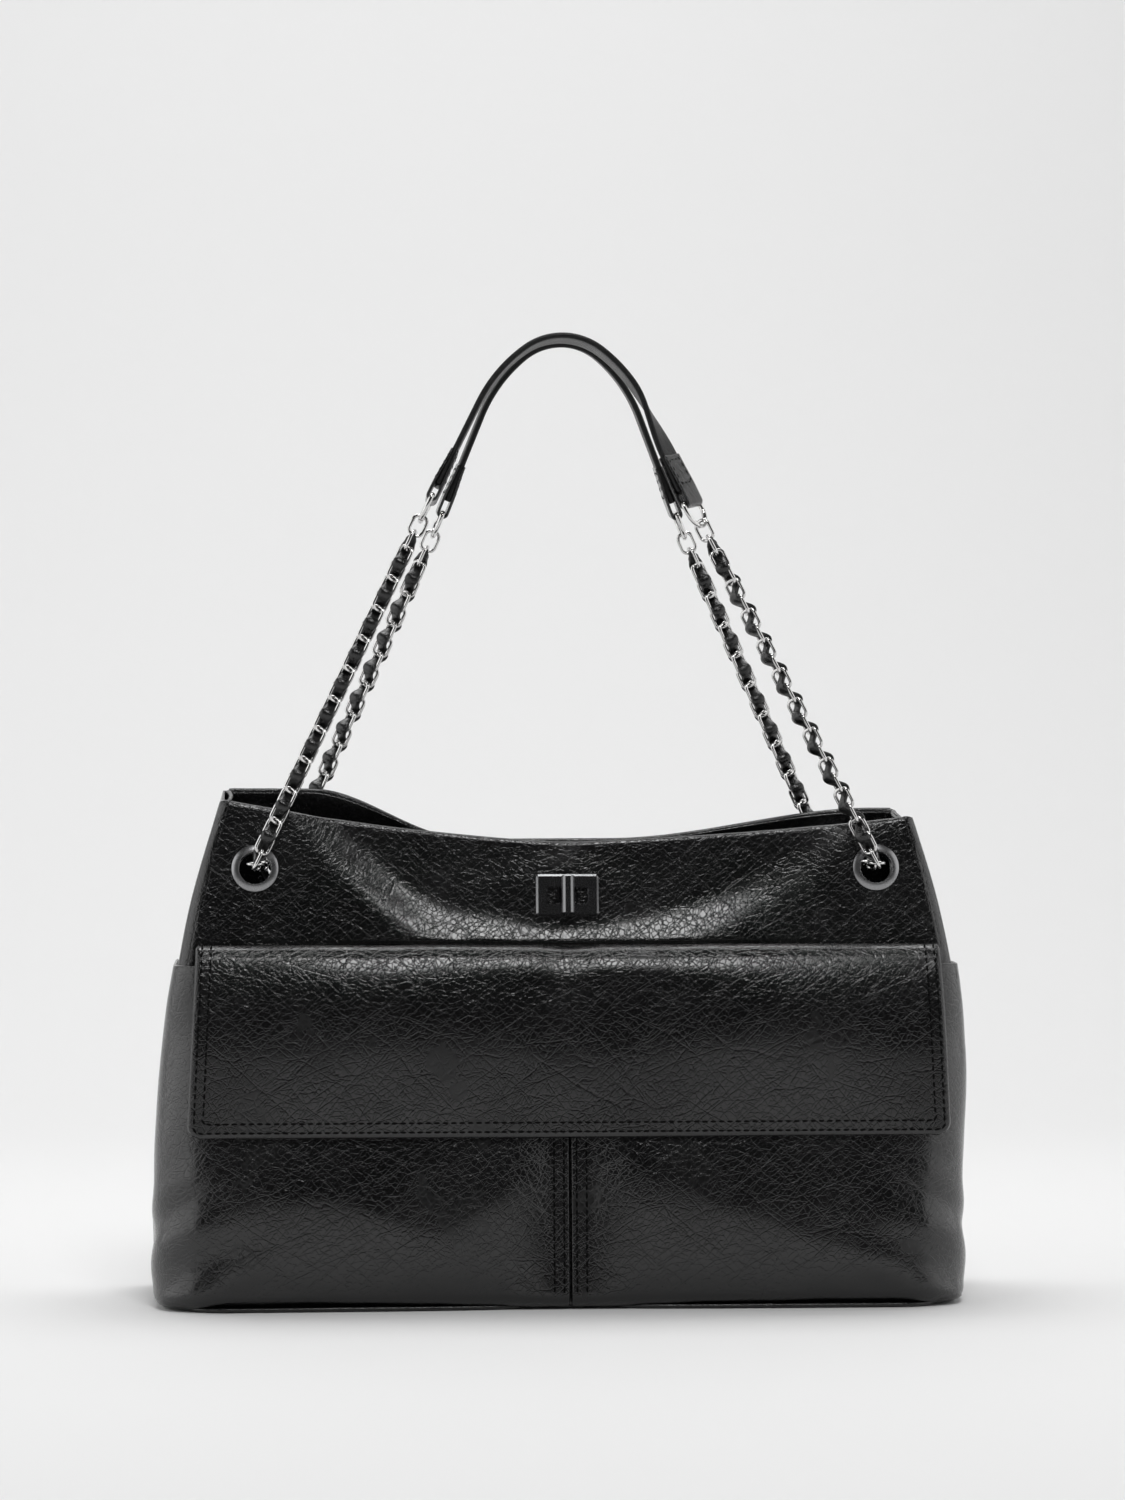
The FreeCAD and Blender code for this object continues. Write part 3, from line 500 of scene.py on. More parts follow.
front_panel = panel("front_panel_leather", True, "front_panel")
back_panel = panel("back_panel_leather", False, "back_panel")
print("panels:", len(front_panel.data.polygons), "and", len(back_panel.data.polygons), "faces")

# %% [markdown]
# ## Gussets
#
# A gusset is the side wall. It runs from a front corner round the side to a back corner, and falls
# in a little near the mouth. It could be bent from a flat sheet, but laying rows of points along
# its corners keeps the seams to the panels closed.

# %% Gussets
GUSSET_INSET = 0.0023
GUSSET_CORNER = 0.0068
GUSSET_EDGE_X = 0.176
GUSSET_FALL = 0.006
GUSSET_WAVE = 0.0014
GUSSET_ROWS = 121


def corner_point(side, depth, radius, t):
    """A point of a rounded front corner: t is 0 at the front and a quarter turn at the side."""
    return side - radius + radius * math.sin(t), -depth + radius - radius * math.cos(t)


def upright_grid(pieces, z):
    """A grid from pairs of x and y, each given for all heights z."""
    x, y = (np.stack(part) for part in zip(*pieces))
    return np.stack([x, y, np.broadcast_to(z, x.shape)], axis=-1)


def gusset_path(z, radius):
    """Points from the front corner to the back corner of the right side at heights z."""
    half_depth = wall(z)
    side = flank(z) - GUSSET_INSET
    eased = radius + corner_ease(z)
    turns = np.linspace(0.0, math.pi / 2.0, 13)
    pieces = [corner_point(side, half_depth, eased, t) for t in turns]
    for share in np.linspace(0.0, 1.0, 34)[1:-1]:
        pieces.append((side, (eased - half_depth) * (1.0 - share) + (half_depth - radius) * share))
    for t in turns[::-1]:
        x, y = corner_point(side, half_depth, radius, t)
        pieces.append((x, -y))
    return upright_grid(pieces, z)


def gusset(side):
    grid = gusset_path(np.linspace(PANEL_FOOT, MOUTH_CORNER - 0.001, GUSSET_ROWS), GUSSET_CORNER)
    top = mouth_top(side * np.full(len(grid), GUSSET_EDGE_X), grid[:, -1, 1])
    z = PANEL_FOOT + (top[:, None] - PANEL_FOOT) * np.linspace(0.0, 1.0, GUSSET_ROWS)
    grid[..., 0] += flank(z) - flank(grid[..., 2])
    grid[..., 1] *= wall(z) / wall(grid[..., 2])
    grid[..., 2] = z
    high = step(grid[..., 2], 0.178, 0.25)
    middle = 1.0 - np.clip(np.abs(grid[..., 1]) / 0.03, 0.0, 1.0) ** 2
    fall = -GUSSET_FALL * high * middle + GUSSET_WAVE * high * swell(grid, 0.04, 5.0 * side)
    grid += grid_normals(grid) * fall[..., None]
    if side < 0:
        grid = grid[::-1] * MIRROR_X
    node = "gusset_" + SIDES[side]
    obj = sheet(node + "_leather", draw_in(grid), LEATHER, leather)
    return dress(obj, "bag", [node])


gussets = [gusset(side) for side in SIDES]
print("gussets:", [len(obj.data.polygons) for obj in gussets], "faces")

# %% [markdown]
# ## Wrap-round pocket panels
#
# Each panel starts at the middle slit, lies flat where it is sewn down, swells forward, turns the
# corner and runs along the side to the back. Its foot turns in under the bag, and the corner leather
# folds where the bag stands on it. Sculpting could do that, but a written rule can be changed later.

# %% Pocket shape
SLIT_HALF = 0.0011
WRAP_CORNER = 0.017
WRAP_BACK = 0.0140
BELLY_FOOT = -0.0025
BELLY_RISE = 0.0072
BELLY_FALL = 0.0030
VALLEY_SOFTNESS = 0.0025
SOFT_WAVE = 0.0009
SOFT_RIPPLE = 0.0003
FOLD_DEPTH = 0.0010


def pocket_depth(z):
    """How far the sewn seam at the slit lies behind the pocket front."""
    return pocket(z) - wall(z) - 0.0021


def wrap_path(z):
    """Points from the slit to the back edge of the right panel at heights z."""
    radius = WRAP_CORNER + corner_ease(z)
    reach = pocket(z)
    side = flank(z)
    back = wall(z) - WRAP_BACK
    pieces = []
    for share in np.linspace(0.0, 1.0, 75) ** 1.3:
        pieces.append((SLIT_HALF + (side - radius - SLIT_HALF) * share, -reach))
    for t in np.linspace(0.0, math.pi / 2.0, 18)[1:]:
        pieces.append(corner_point(side, reach, radius, t))
    for share in np.linspace(0.0, 1.0, 44)[1:]:
        pieces.append((side, (-reach + radius) * (1.0 - share) + back * share))
    return upright_grid(pieces, z)


def crest_height(x, side):
    """Height of the pocket's fullest line; it falls away from the slit, on the left in two folds."""
    if side < 0:
        return 0.066 - 0.026 * step(x, 0.015, 0.070) + 0.018 * step(x, 0.070, 0.125)
    return np.clip(0.071 - 0.34 * np.maximum(x - 0.026, 0.0), 0.030, 0.071)


def belly_profile(z, crest):
    """How far a pocket stands out: in at the foot, full at its crest, a little less under the flap."""
    low = 1.0 - (1.0 - np.clip(z / crest, 0.0, 1.0)) ** 1.8
    high = np.clip((z - crest) / np.maximum(0.088 - crest, 0.028), 0.0, 1.0) ** 1.3
    return (BELLY_FOOT + BELLY_RISE * low - BELLY_FALL * high) * (1.0 - step(z, 0.092, 0.150))


def wrap_swell(grid, side):
    """Outward movement of a pocket panel."""
    x, y, z = grid[..., 0], grid[..., 1], grid[..., 2]
    front = step(-y, 0.035, 0.052)
    open_front = 1.0 - step(z, 0.068, 0.092)
    ends = step(x, 0.004, 0.040) * (1.0 - step(x, 0.160, 0.205))
    belly = belly_profile(z, crest_height(x, side)) * front * ends
    rise = 0.55 * pocket_depth(z) - 0.2 * np.maximum(x - 0.0105, 0.0)
    valley = -0.5 * (rise + np.sqrt(rise ** 2 + VALLEY_SOFTNESS ** 2)) * (y < -0.03)
    valley *= 1.0 - step(x, 0.036, 0.056)
    flanks = (1.0 - front) * step(z, 0.006, 0.03) * (1.0 - step(z, 0.150, 0.171))
    soft = SOFT_WAVE * swell(grid, 0.06, 2.0 + side) + SOFT_RIPPLE * swell(grid, 0.02, 9.0)
    free = np.maximum(open_front * front * step(x, 0.008, 0.03), flanks)
    low_corner = step(x, 0.135, 0.20) * (1.0 - step(z, 0.02, 0.085)) * step(z, 0.002, 0.012)
    folds = np.sin(190.0 * (z + 0.55 * (x - 0.2) + 0.4 * y) + 2.5 * swell(grid, 0.05, 4.0))
    return belly + valley + soft * free + FOLD_DEPTH * folds * low_corner


print("depth of the slit at the pocket mouth:", round(pocket_depth(POCKET_TOP), 4))

# %% Pocket panels
FOOT_TURN = 0.008


def pocket_wrap(side):
    z = np.concatenate([np.linspace(0.0006, 0.010, 9)[:-1], np.linspace(0.010, POCKET_TOP, 92)])
    grid = wrap_path(z)
    normal = grid_normals(grid)
    under = np.clip(FOOT_TURN - grid[..., 2], 0.0, FOOT_TURN)
    turn_in = FOOT_TURN - np.sqrt(FOOT_TURN ** 2 - under ** 2)
    normal[..., 2] = 0.0
    grid += unit(normal) * (wrap_swell(grid, side) - turn_in)[..., None]
    if side < 0:
        grid = grid[::-1] * MIRROR_X
    grid = draw_in(grid)
    node = "pocket_wrap_" + SIDES[side]
    dress(sheet(node + "_leather", grid, LEATHER, leather), "bag", [node])
    return grid


pocket_grids = {side: pocket_wrap(side) for side in SIDES}
print("pocket panels:", pocket_grids[1].shape[:2], "points each")

# %% [markdown]
# ## Base
#
# The base is a flat piece of leather inside the folded-in foot of the walls. A plane would do for
# its middle, but rings of the bag's own outline also give it a rolled edge.

# %% Base
BASE_INSET = 0.0075
BASE_LEATHER = 0.0015
BACK_CORNER = 0.012


def base_outline():
    """The plan of the bag at the floor, once round."""
    right = wrap_path(np.array([0.0]))[:, 0, :2]
    centre_x, centre_y = HALF_WIDTH - BACK_CORNER, WALL_FOOT + 0.0015 - BACK_CORNER
    corner = []
    for t in np.linspace(0.0, math.pi / 2.0, 10):
        corner.append((centre_x + BACK_CORNER * math.cos(t), centre_y + BACK_CORNER * math.sin(t)))
    right = np.concatenate([right, np.array(corner)])
    loop = np.concatenate([right, right[::-1] * (-1.0, 1.0)])
    centre = loop.mean(axis=0)
    away = loop - centre
    reach = np.maximum(np.abs(away).max(axis=1, keepdims=True), 1e-6)
    return centre + away * (1.0 - BASE_INSET / reach)


def base_panel():
    loop = base_outline()[::-1]
    rings = []
    for share, z in ((0.05, 0.0), (0.6, 0.0), (0.995, 0.0002), (1.0, 0.0009), (1.0, 0.0021)):
        rings.append(np.concatenate([loop * share, np.full((len(loop), 1), z)], axis=1))
    grid = draw_in(np.stack(rings, axis=1))
    obj = sheet("base_panel_leather", grid, -BASE_LEATHER, leather, closed=True)
    return dress(obj, "bag", ["bottom_panel"])


print("base:", len(base_panel().data.polygons), "faces")

# %% [markdown]
# ## Facing and lining
#
# Inside the mouth a leather facing backs the panels, and below it hangs the cloth lining. Both could
# be offset copies of the walls, but one closed loop round the inside has no open seams. The
# facing takes the slump of the panels, so that it stays behind them.

# %% Facing and lining
FACING_FOOT = 0.192
FACING_INSET = 0.0022
FACING_LEATHER = 0.0010
FACING_ROWS = 36
FACING_EYELET_HOLE = 0.0100
FACING_LOCK_HOLE = 0.0048
LINING_TOP = 0.191
LINING_FLOOR = 0.0062
LINING_INSET = 0.0030
LINING_CLOTH = 0.0006


def inside_loop(z, inset):
    """Once round the inside of the walls at heights z, counted so that its face looks in."""
    right = gusset_path(z, 0.0050)
    right[..., 0] -= inset
    right[..., 1] *= 1.0 - inset / wall(z)
    shares = np.linspace(0.0, 1.0, 90)[1:-1]
    back = [right[-1] * (1.0 - 2.0 * share, 1.0, 1.0) for share in shares]
    front = [right[0] * (-1.0 + 2.0 * share, 1.0, 1.0) for share in shares]
    return np.concatenate([right, np.stack(back), right[::-1] * MIRROR_X, np.stack(front)])


def facing():
    grid = inside_loop(np.linspace(FACING_FOOT, 0.258, FACING_ROWS), FACING_INSET)
    edge = np.clip(np.abs(grid[..., 0]) / (flank(grid[..., 2]) - 0.012), 0.0, 1.0)
    top = mouth_top(grid[:, -1, 0], grid[:, -1, 1]) - 0.0006
    z = FACING_FOOT + (top[:, None] - FACING_FOOT) * np.linspace(0.0, 1.0, FACING_ROWS)
    grid[..., 1] *= wall(z) / wall(grid[..., 2])
    grid[..., 2] = z
    on_front = grid[..., 1] < 0
    outward = np.where(on_front, slump(grid, True), slump(grid, False))
    outward *= step(np.abs(grid[..., 1]), 0.012, 0.02) * (1.0 - step(edge, 0.93, 0.99))
    grid[..., 1] += np.where(on_front, -1.0, 1.0) * outward
    holes = [(LOCK_CENTRE + np.array((0.0, FACING_INSET, 0.0)), FACING_LOCK_HOLE)]
    for front, inward in ((True, FACING_INSET), (False, -FACING_INSET)):
        for x, y, height in eyelet_centres(front):
            holes.append(((x, y + inward, height), FACING_EYELET_HOLE))
    obj = sheet("mouth_facing_leather", grid[::-1], -FACING_LEATHER, leather, holes, closed=True)
    return dress(obj, "bag", ["top_facing"])


def lining():
    walls = inside_loop(np.linspace(LINING_FLOOR, LINING_TOP, 30), LINING_INSET)
    rings = [walls[:, :1] * (share, share, 1.0) for share in (0.03, 0.5, 0.97)]
    grid = np.concatenate(rings + [walls], axis=1)
    grid[:, 3:] += grid_normals(grid)[:, 3:] * (0.0006 * swell(walls, 0.03))[..., None]
    obj = sheet("lining_cloth", draw_in(grid[::-1]), -LINING_CLOTH, lining_cloth, closed=True)
    return dress(obj, "bag", ["lining", "base_board"])


print("facing:", len(facing().data.polygons), "faces, lining:", len(lining().data.polygons), "faces")

# %% [markdown]
# ## Pocket flap
#
# The flap leaves its seam on the front panel, runs forward, rolls over a soft fold and hangs down
# over the pockets. A simulated cloth would fall differently in each pose, so a profile is swept
# across the bag instead.

# %% Flap
FLAP_HINGE = Vector((0.0, -0.039624, 0.181))
FLAP_EDGE = 0.0872
FLAP_LEAF_TOP = 0.1752
FLAP_CORNER = 0.006
FLAP_LEATHER = 0.0026
FOLD_RADIUS = 0.0074
FOLD_FRONT = -0.046
FLAP_OFFSET = 0.0032
FLAP_FULLNESS = 0.0080
FLAP_LOBES = 0.0018
FLAP_STANDOFF = 0.0022
FLAP_RIDGE = 0.0014
TOGGLE_DENT = 0.0016
FOLD_WAVE = 0.0007


def flap_profile():
    """From the flap's lower edge up the leaf, over the fold and back to the seam."""
    points = [(-pocket(z) - FLAP_OFFSET, z) for z in np.linspace(FLAP_EDGE, FLAP_LEAF_TOP, 46)]
    y_leaf, z_leaf = points[-1]
    for t in np.linspace(0.0, math.pi / 2.0, 12)[1:]:
        points.append((y_leaf + FOLD_RADIUS * (1.0 - math.cos(t)), z_leaf + FOLD_RADIUS * math.sin(t)))
    y_fold, z_fold = points[-1]
    for share in np.linspace(0.0, 1.0, 9)[1:]:
        points.append((y_fold + (FLAP_HINGE.y + 0.0002 - y_fold) * share, z_fold - 0.0003 * share))
    return np.array(points)


def flap_swell(grid):
    """Outward movement of the flap; a dent in its fold leaves room for the toggle when it is lifted."""
    x, y, z = grid[..., 0], grid[..., 1], grid[..., 2]
    up = np.clip((z - FLAP_EDGE) / 0.0910, 0.0, 1.0)
    full = FLAP_FULLNESS - FLAP_LOBES * np.cos(2.0 * math.pi * x / 0.195)
    wave = 0.0009 * swell(grid, 0.075, 6.3) + 0.0002 * swell(grid, 0.025, 2.2)
    out = full * up * (1.0 - up ** 5) + wave * (1.0 - step(z, 0.150, 0.176))
    out = out + FLAP_STANDOFF * (1.0 - step(z, 0.125, 0.1825))
    ridge = FLAP_RIDGE * np.exp(-((x - 0.02) / 0.06) ** 2)
    out = out + ridge * step(z, 0.160, 0.171) * (1.0 - step(z, 0.171, 0.1825))
    out = out - TOGGLE_DENT * np.exp(-(x / 0.014) ** 2) * step(z, 0.162, 0.175) * (y < FOLD_FRONT)
    fold = step(z, 0.170, 0.180) * (y < FOLD_FRONT)
    return out + fold * FOLD_WAVE * swell(grid * (1.0, 0.0, 0.0), 0.05, 8.0)


def flap():
    profile = flap_profile()
    across = np.interp(profile[:, 1], (0.087, 0.181), (0.1914, 0.1870))
    low = np.clip(FLAP_EDGE + FLAP_CORNER - profile[:, 1], 0.0, FLAP_CORNER)
    across = across - (FLAP_CORNER - np.sqrt(FLAP_CORNER ** 2 - low ** 2))
    x = np.linspace(-1.0, 1.0, 171)[:, None] * across[None, :]
    grid = np.stack([x, *(np.broadcast_to(part, x.shape) for part in profile.T)], axis=-1)
    grid = grid + grid_normals(grid) * flap_swell(grid)[..., None]
    obj = sheet("pocket_flap_leather", grid, FLAP_LEATHER, leather)
    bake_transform(obj)
    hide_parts("pocket_flap")
    return obj, grid


pocket_flap, flap_grid = flap()
print("flap:", len(pocket_flap.data.polygons), "faces")

# %% [markdown]
# ## Handles
#
# A handle is two chain legs, two D-rings and a strap. It is drawn upright from the line of its two
# pivots, then leant inwards, which is simpler than drawing it where it stands. The rear handle faces
# the other way, and its arch is a little narrower, as it hangs in the photograph.

# %% Strap arch
STRAP_STRAIGHT = 0.0540
STRAP_SHOULDER = 0.0377
STRAP_CROWN = 0.0210


def strap_arch(slant, crown_turn):
    """A tight crown, a slacker shoulder each side, then straight ends."""
    slant, crown = math.radians(slant), math.radians(crown_turn)
    foot = math.pi / 2.0 - slant
    return {
        "slant": slant,
        "crown": crown,
        "foot": foot,
        "crown_radius": STRAP_CROWN / crown,
        "shoulder_radius": STRAP_SHOULDER / (foot - crown),
    }


def arch_row(arch, side, turn):
    """Centre and outward direction of the strap where it has turned by an angle from its top."""
    out = np.array((side * math.sin(turn), 0.0, math.cos(turn)))
    crown, shoulder = arch["crown_radius"], arch["shoulder_radius"]
    if turn <= arch["crown"]:
        return np.array((0.0, 0.0, -crown)) + out * crown, out
    hinge = np.array((side * math.sin(arch["crown"]), 0.0, math.cos(arch["crown"])))
    return np.array((0.0, 0.0, -crown)) + hinge * (crown - shoulder) + out * shoulder, out


def bar_point(arch, side):
    """The bar at one end of the strap, under its top."""
    down = np.array((side * math.sin(arch["slant"]), 0.0, -math.cos(arch["slant"])))
    return arch_row(arch, side, arch["foot"])[0] + down * STRAP_STRAIGHT


FRONT_ARCH = strap_arch(25.5, 37.0)
REAR_ARCH = strap_arch(21.5, 40.0)
print("half spans of the arches:", [round(bar_point(a, 1)[0], 4) for a in (FRONT_ARCH, REAR_ARCH)])

# %% Handle poses
HANDLES = {False: "front", True: "rear"}
PIVOT = Vector((0.0, -0.038830, 0.223287))
REAR_FOOT_X = 0.142793
HANDLE_LEAN = math.radians(6.0)
STRAP_TWIST = math.radians(32.0)
LINK_PITCH = 0.0086
LINK_WIRE = 0.0018
LINK_GAP = 0.00025
FOOT_GAP = 0.00065
RING_RISE = 0.0110
MIRROR_Y = Matrix.Diagonal((1.0, -1.0, 1.0, 1.0))


def handle_to_world(rear):
    lean = Matrix.Translation(PIVOT) @ Matrix.Rotation(-HANDLE_LEAN, 4, "X")
    return MIRROR_Y @ lean if rear else lean


def handle_pose(foot_x, links, arch, sway, twist):
    """Slopes of the legs and place of the strap, found as the CAD finds them."""
    length = links * LINK_PITCH + LINK_GAP - FOOT_GAP
    bar = bar_point(arch, 1)
    reach = bar[0] + RING_RISE * math.sin(arch["slant"])
    tilt = 0.0
    for _ in range(30):
        runs = [foot_x + sway - reach * math.cos(tilt), foot_x - sway - reach * math.cos(tilt)]
        rises = [math.sqrt(length ** 2 - run ** 2) for run in runs]
        tilt = math.asin((rises[1] - rises[0]) * 0.5 / reach)
    hooks = Matrix.Translation((sway, 0.0, sum(rises) / 2.0)) @ Matrix.Rotation(-tilt, 4, "Y")
    up = RING_RISE * math.cos(arch["slant"]) - bar[2]
    return {
        "foot_x": foot_x,
        "links": links,
        "length": length,
        "arch": arch,
        "slopes": {-1: math.atan2(runs[0], rises[0]), 1: math.atan2(runs[1], rises[1])},
        "strap": hooks @ Matrix.Translation((0.0, 0.0, up)),
        "spins": {-1: 0.0, 1: -twist},
    }


POSES = {
    False: handle_pose(EYELET_X, 23, FRONT_ARCH, -0.0020, STRAP_TWIST),
    True: handle_pose(REAR_FOOT_X, 22, REAR_ARCH, -0.0005, 0.0),
}


def leg_to_world(rear, side):
    """Places a leg whose Z runs up the chain from its pivot."""
    turn = Matrix.Rotation(-side * POSES[rear]["slopes"][side], 4, "Y")
    return handle_to_world(rear) @ (Matrix.Translation((side * POSES[rear]["foot_x"], 0.0, 0.0)) @ turn)


def moved(matrix, points):
    points = np.asarray(points, float)
    m = np.array(matrix)
    return points @ m[:3, :3].T + m[:3, 3]


print("lengths of the legs:", [round(pose["length"], 4) for pose in POSES.values()])

# %% [markdown]
# ## Straps and tabs
#
# The strap is a flat band with rounded edges. On the right its outer face turns towards the front
# before it meets its tab. A curve with a bevel could make it, but rings of points hold the twist
# exactly. Each tab is a strip folded round the bar of its D-ring, made with the sheet tool.

# %% Tube tools
def rounded_corners(half_x, half_y, radius, angles):
    """The four corners of a rounded outline, each a list of x, y and the turn there."""
    corners = []
    for sign_x, sign_y, start in ((1, 1, 0.0), (-1, 1, 90.0), (-1, -1, 180.0), (1, -1, 270.0)):
        x, y = sign_x * (half_x - radius), sign_y * (half_y - radius)
        turns = [math.radians(start + angle) for angle in angles]
        corners.append([(x + radius * math.cos(t), y + radius * math.sin(t), t) for t in turns])
    return corners


def tube_mesh(name, rings, material, closed=False):
    """Skins a row of rings and turns every face outwards, whichever way the rings ran."""
    count = len(rings[0])
    total = len(rings)
    faces = []
    for i in range(total if closed else total - 1):
        a, b = i * count, ((i + 1) % total) * count
        for k in range(count):
            n = (k + 1) % count
            faces.append((a + k, a + n, b + n, b + k))
    if not closed:
        faces.append(tuple(range(count - 1, -1, -1)))
        faces.append(tuple((total - 1) * count + k for k in range(count)))
    obj = build_mesh(name, np.concatenate(rings), faces, material)
    work = bmesh.new()
    work.from_mesh(obj.data)
    bmesh.ops.recalc_face_normals(work, faces=work.faces)
    work.to_mesh(obj.data)
    work.free()
    return obj


def band_section(thickness, width):
    """A flat section with rounded edges, as (outward, across) pairs."""
    radius = thickness * 0.42
    rounds = rounded_corners(thickness / 2, width / 2, radius, (0.0, 30.0, 60.0, 90.0))
    rounds = [[(p, q) for p, q, _ in corner] for corner in rounds]
    flat = [(width / 2 - radius) * share for share in (-0.5, 0.0, 0.5)]
    inner_face = [(-thickness / 2, q) for q in flat[::-1]]
    outer_face = [(thickness / 2, q) for q in flat]
    return rounds[0] + rounds[1] + inner_face + rounds[2] + rounds[3] + outer_face


STRAP_SECTION = band_section(0.003, 0.017)
print("strap section:", len(STRAP_SECTION), "points")

# %% Straps
TAB = 0.026
STRAP_END = 0.0065


def half_strap(pose, side):
    """Centre, outward direction and twist from one end of the strap nearly to its top."""
    arch = pose["arch"]
    bar = bar_point(arch, side)
    foot, out = arch_row(arch, side, arch["foot"])
    half = []
    for share in np.linspace(STRAP_END / STRAP_STRAIGHT, 1.0, 34)[:-1]:
        half.append((bar + (foot - bar) * share, out))
    shoulder = np.linspace(arch["foot"], arch["crown"], 24)[:-1]
    crown = np.linspace(arch["crown"], 0.0, 20)[:-1]
    half += [arch_row(arch, side, turn) for turn in (*shoulder, *crown)]
    rows = []
    for centre, out in half:
        share = 1.0 - step(np.linalg.norm(centre - bar), TAB, STRAP_STRAIGHT + 0.014)
        rows.append((centre, out, -pose["spins"][side] * share))
    return rows


def strap(rear):
    pose = POSES[rear]
    top = (*arch_row(pose["arch"], 1, 0.0), 0.0)
    across = np.array((0.0, 1.0, 0.0))
    rings = []
    for centre, out, twist in half_strap(pose, -1) + [top] + half_strap(pose, 1)[::-1]:
        c = out * math.cos(twist) - across * math.sin(twist)
        b = across * math.cos(twist) + out * math.sin(twist)
        ring = [centre + c * p + b * q for p, q in STRAP_SECTION]
        rings.append(moved(handle_to_world(rear) @ pose["strap"], ring))
    node = HANDLES[rear] + "_strap"
    return dress(tube_mesh(node + "_leather", rings, strap_leather), node, [node])


print("straps:", [len(strap(rear).data.polygons) for rear in HANDLES], "faces")

# %% Tabs
TAB_RADIUS = 0.00305
TAB_THINNING = 0.0009
TAB_THINS_FROM = 0.006
TAB_HALF_WIDTH = 0.00860
TAB_LEATHER = 0.0014


def ring_to_world(rear, side):
    """Places the bar of a D-ring, whose Z runs up into the strap."""
    pose = POSES[rear]
    slant = Matrix.Rotation(-side * pose["arch"]["slant"], 4, "Y")
    bar = Matrix.Translation(bar_point(pose["arch"], side)) @ slant
    spin = Matrix.Rotation(pose["spins"][side], 4, "Z")
    return handle_to_world(rear) @ (pose["strap"] @ bar @ spin)


def tab_thinning(s):
    """How much thinner a tab is at a height above the bar."""
    return TAB_THINNING * step(s, TAB_THINS_FROM, TAB)


def tab(rear, side):
    """A strip folded round the bar; its tails thin out where they are sewn to the strap."""
    tail = [(TAB_RADIUS - tab_thinning(s), s) for s in np.linspace(TAB, 0.0, 16)]
    turns = np.linspace(0.0, -math.pi, 19)[1:-1]
    bend = [(TAB_RADIUS * math.cos(t), TAB_RADIUS * math.sin(t)) for t in turns]
    path = tail + bend + [(-p, s) for p, s in tail[::-1]]
    widths = np.linspace(-TAB_HALF_WIDTH, TAB_HALF_WIDTH, 13)
    grid = np.array([[(p, w, s) for w in widths] for p, s in path])
    grid = moved(ring_to_world(rear, side), grid)
    if rear:
        grid = grid[::-1]
    node = HANDLES[rear] + "_tab_" + SIDES[side]
    obj = sheet(node + "_leather", grid, TAB_LEATHER, leather)
    return dress(obj, HANDLES[rear] + "_strap", [node])


tabs = [tab(rear, side) for rear in HANDLES for side in SIDES]
print("tabs:", len(tabs))

# %% [markdown]
# ## Chains
#
# One link is a loop of round wire. Each could be an object of its own, but that is slow to handle.
# So a node group sets a copy of one link on every point of a row, turned by the point's own
# rotation, and each chain becomes one mesh of many links.

# %% One link
LINK_HALF_WIDTH = 0.0037
LINK_BEND = 0.0030
WIRE_SIDES = 12


def link_mesh():
    """One link along Z, in the plane of X and Z."""
    half_length = (LINK_PITCH + LINK_WIRE + LINK_GAP) / 2.0
    corners = rounded_corners(LINK_HALF_WIDTH, half_length, LINK_BEND, np.linspace(0.0, 90.0, 8))
    side = np.array((0.0, 1.0, 0.0))
    turns = [2.0 * math.pi * k / WIRE_SIDES for k in range(WIRE_SIDES)]
    rings = []
    for x, z, t in sum(corners, []):
        centre = np.array((x, 0.0, z))
        out = np.array((math.cos(t), 0.0, math.sin(t)))
        ring = [centre + LINK_WIRE / 2.0 * (out * math.cos(a) + side * math.sin(a)) for a in turns]
        rings.append(np.array(ring))
    return tube_mesh("one_link", rings, nickel, closed=True)


one_link = link_mesh()
one_link.hide_render = True
print("one link:", len(one_link.data.polygons), "faces")

# %% Node groups
def new_group(name, inputs):
    """A node group that takes geometry and named inputs and gives geometry."""
    group = bpy.data.node_groups.new(name, "GeometryNodeTree")
    for label, kind, value in [("Geometry", "Geometry", None)] + inputs:
        socket = group.interface.new_socket(label, in_out="INPUT", socket_type="NodeSocket" + kind)
        if value is not None:
            socket.default_value = value
    group.interface.new_socket("Geometry", in_out="OUTPUT", socket_type="NodeSocketGeometry")
    return group, group.nodes.new("NodeGroupInput").outputs


def end_group(group, copies, material):
    """Sets copies on their points, makes them real, and gives them a material and smooth faces."""
    made = add_node(group, "GeometryNodeInstanceOnPoints", copies).outputs["Instances"]
    made = add_node(group, "GeometryNodeRealizeInstances", {"Geometry": made}).outputs["Geometry"]
    painted = {"Geometry": made, "Material": material}
    made = add_node(group, "GeometryNodeSetMaterial", painted).outputs["Geometry"]
    made = add_node(group, "GeometryNodeSetShadeSmooth", {"Geometry": made}).outputs["Geometry"]
    add_node(group, "NodeGroupOutput", {"Geometry": made})
    return group


def run_group(name, mesh, group, values):
    """Puts a mesh through a node group and keeps the plain mesh that comes out."""
    obj = bpy.data.objects.new(name, mesh)
    bpy.context.scene.collection.objects.link(obj)
    modifier = obj.modifiers.new(group.name, "NODES")
    modifier.node_group = group
    for item in group.interface.items_tree:
        if item.item_type == "SOCKET" and item.in_out == "INPUT" and item.name in values:
            modifier[item.identifier] = values[item.name]
    bpy.context.view_layer.update()
    graph = bpy.context.evaluated_depsgraph_get()
    plain = bpy.data.meshes.new_from_object(obj.evaluated_get(graph))
    obj.modifiers.clear()
    obj.data = plain
    return obj


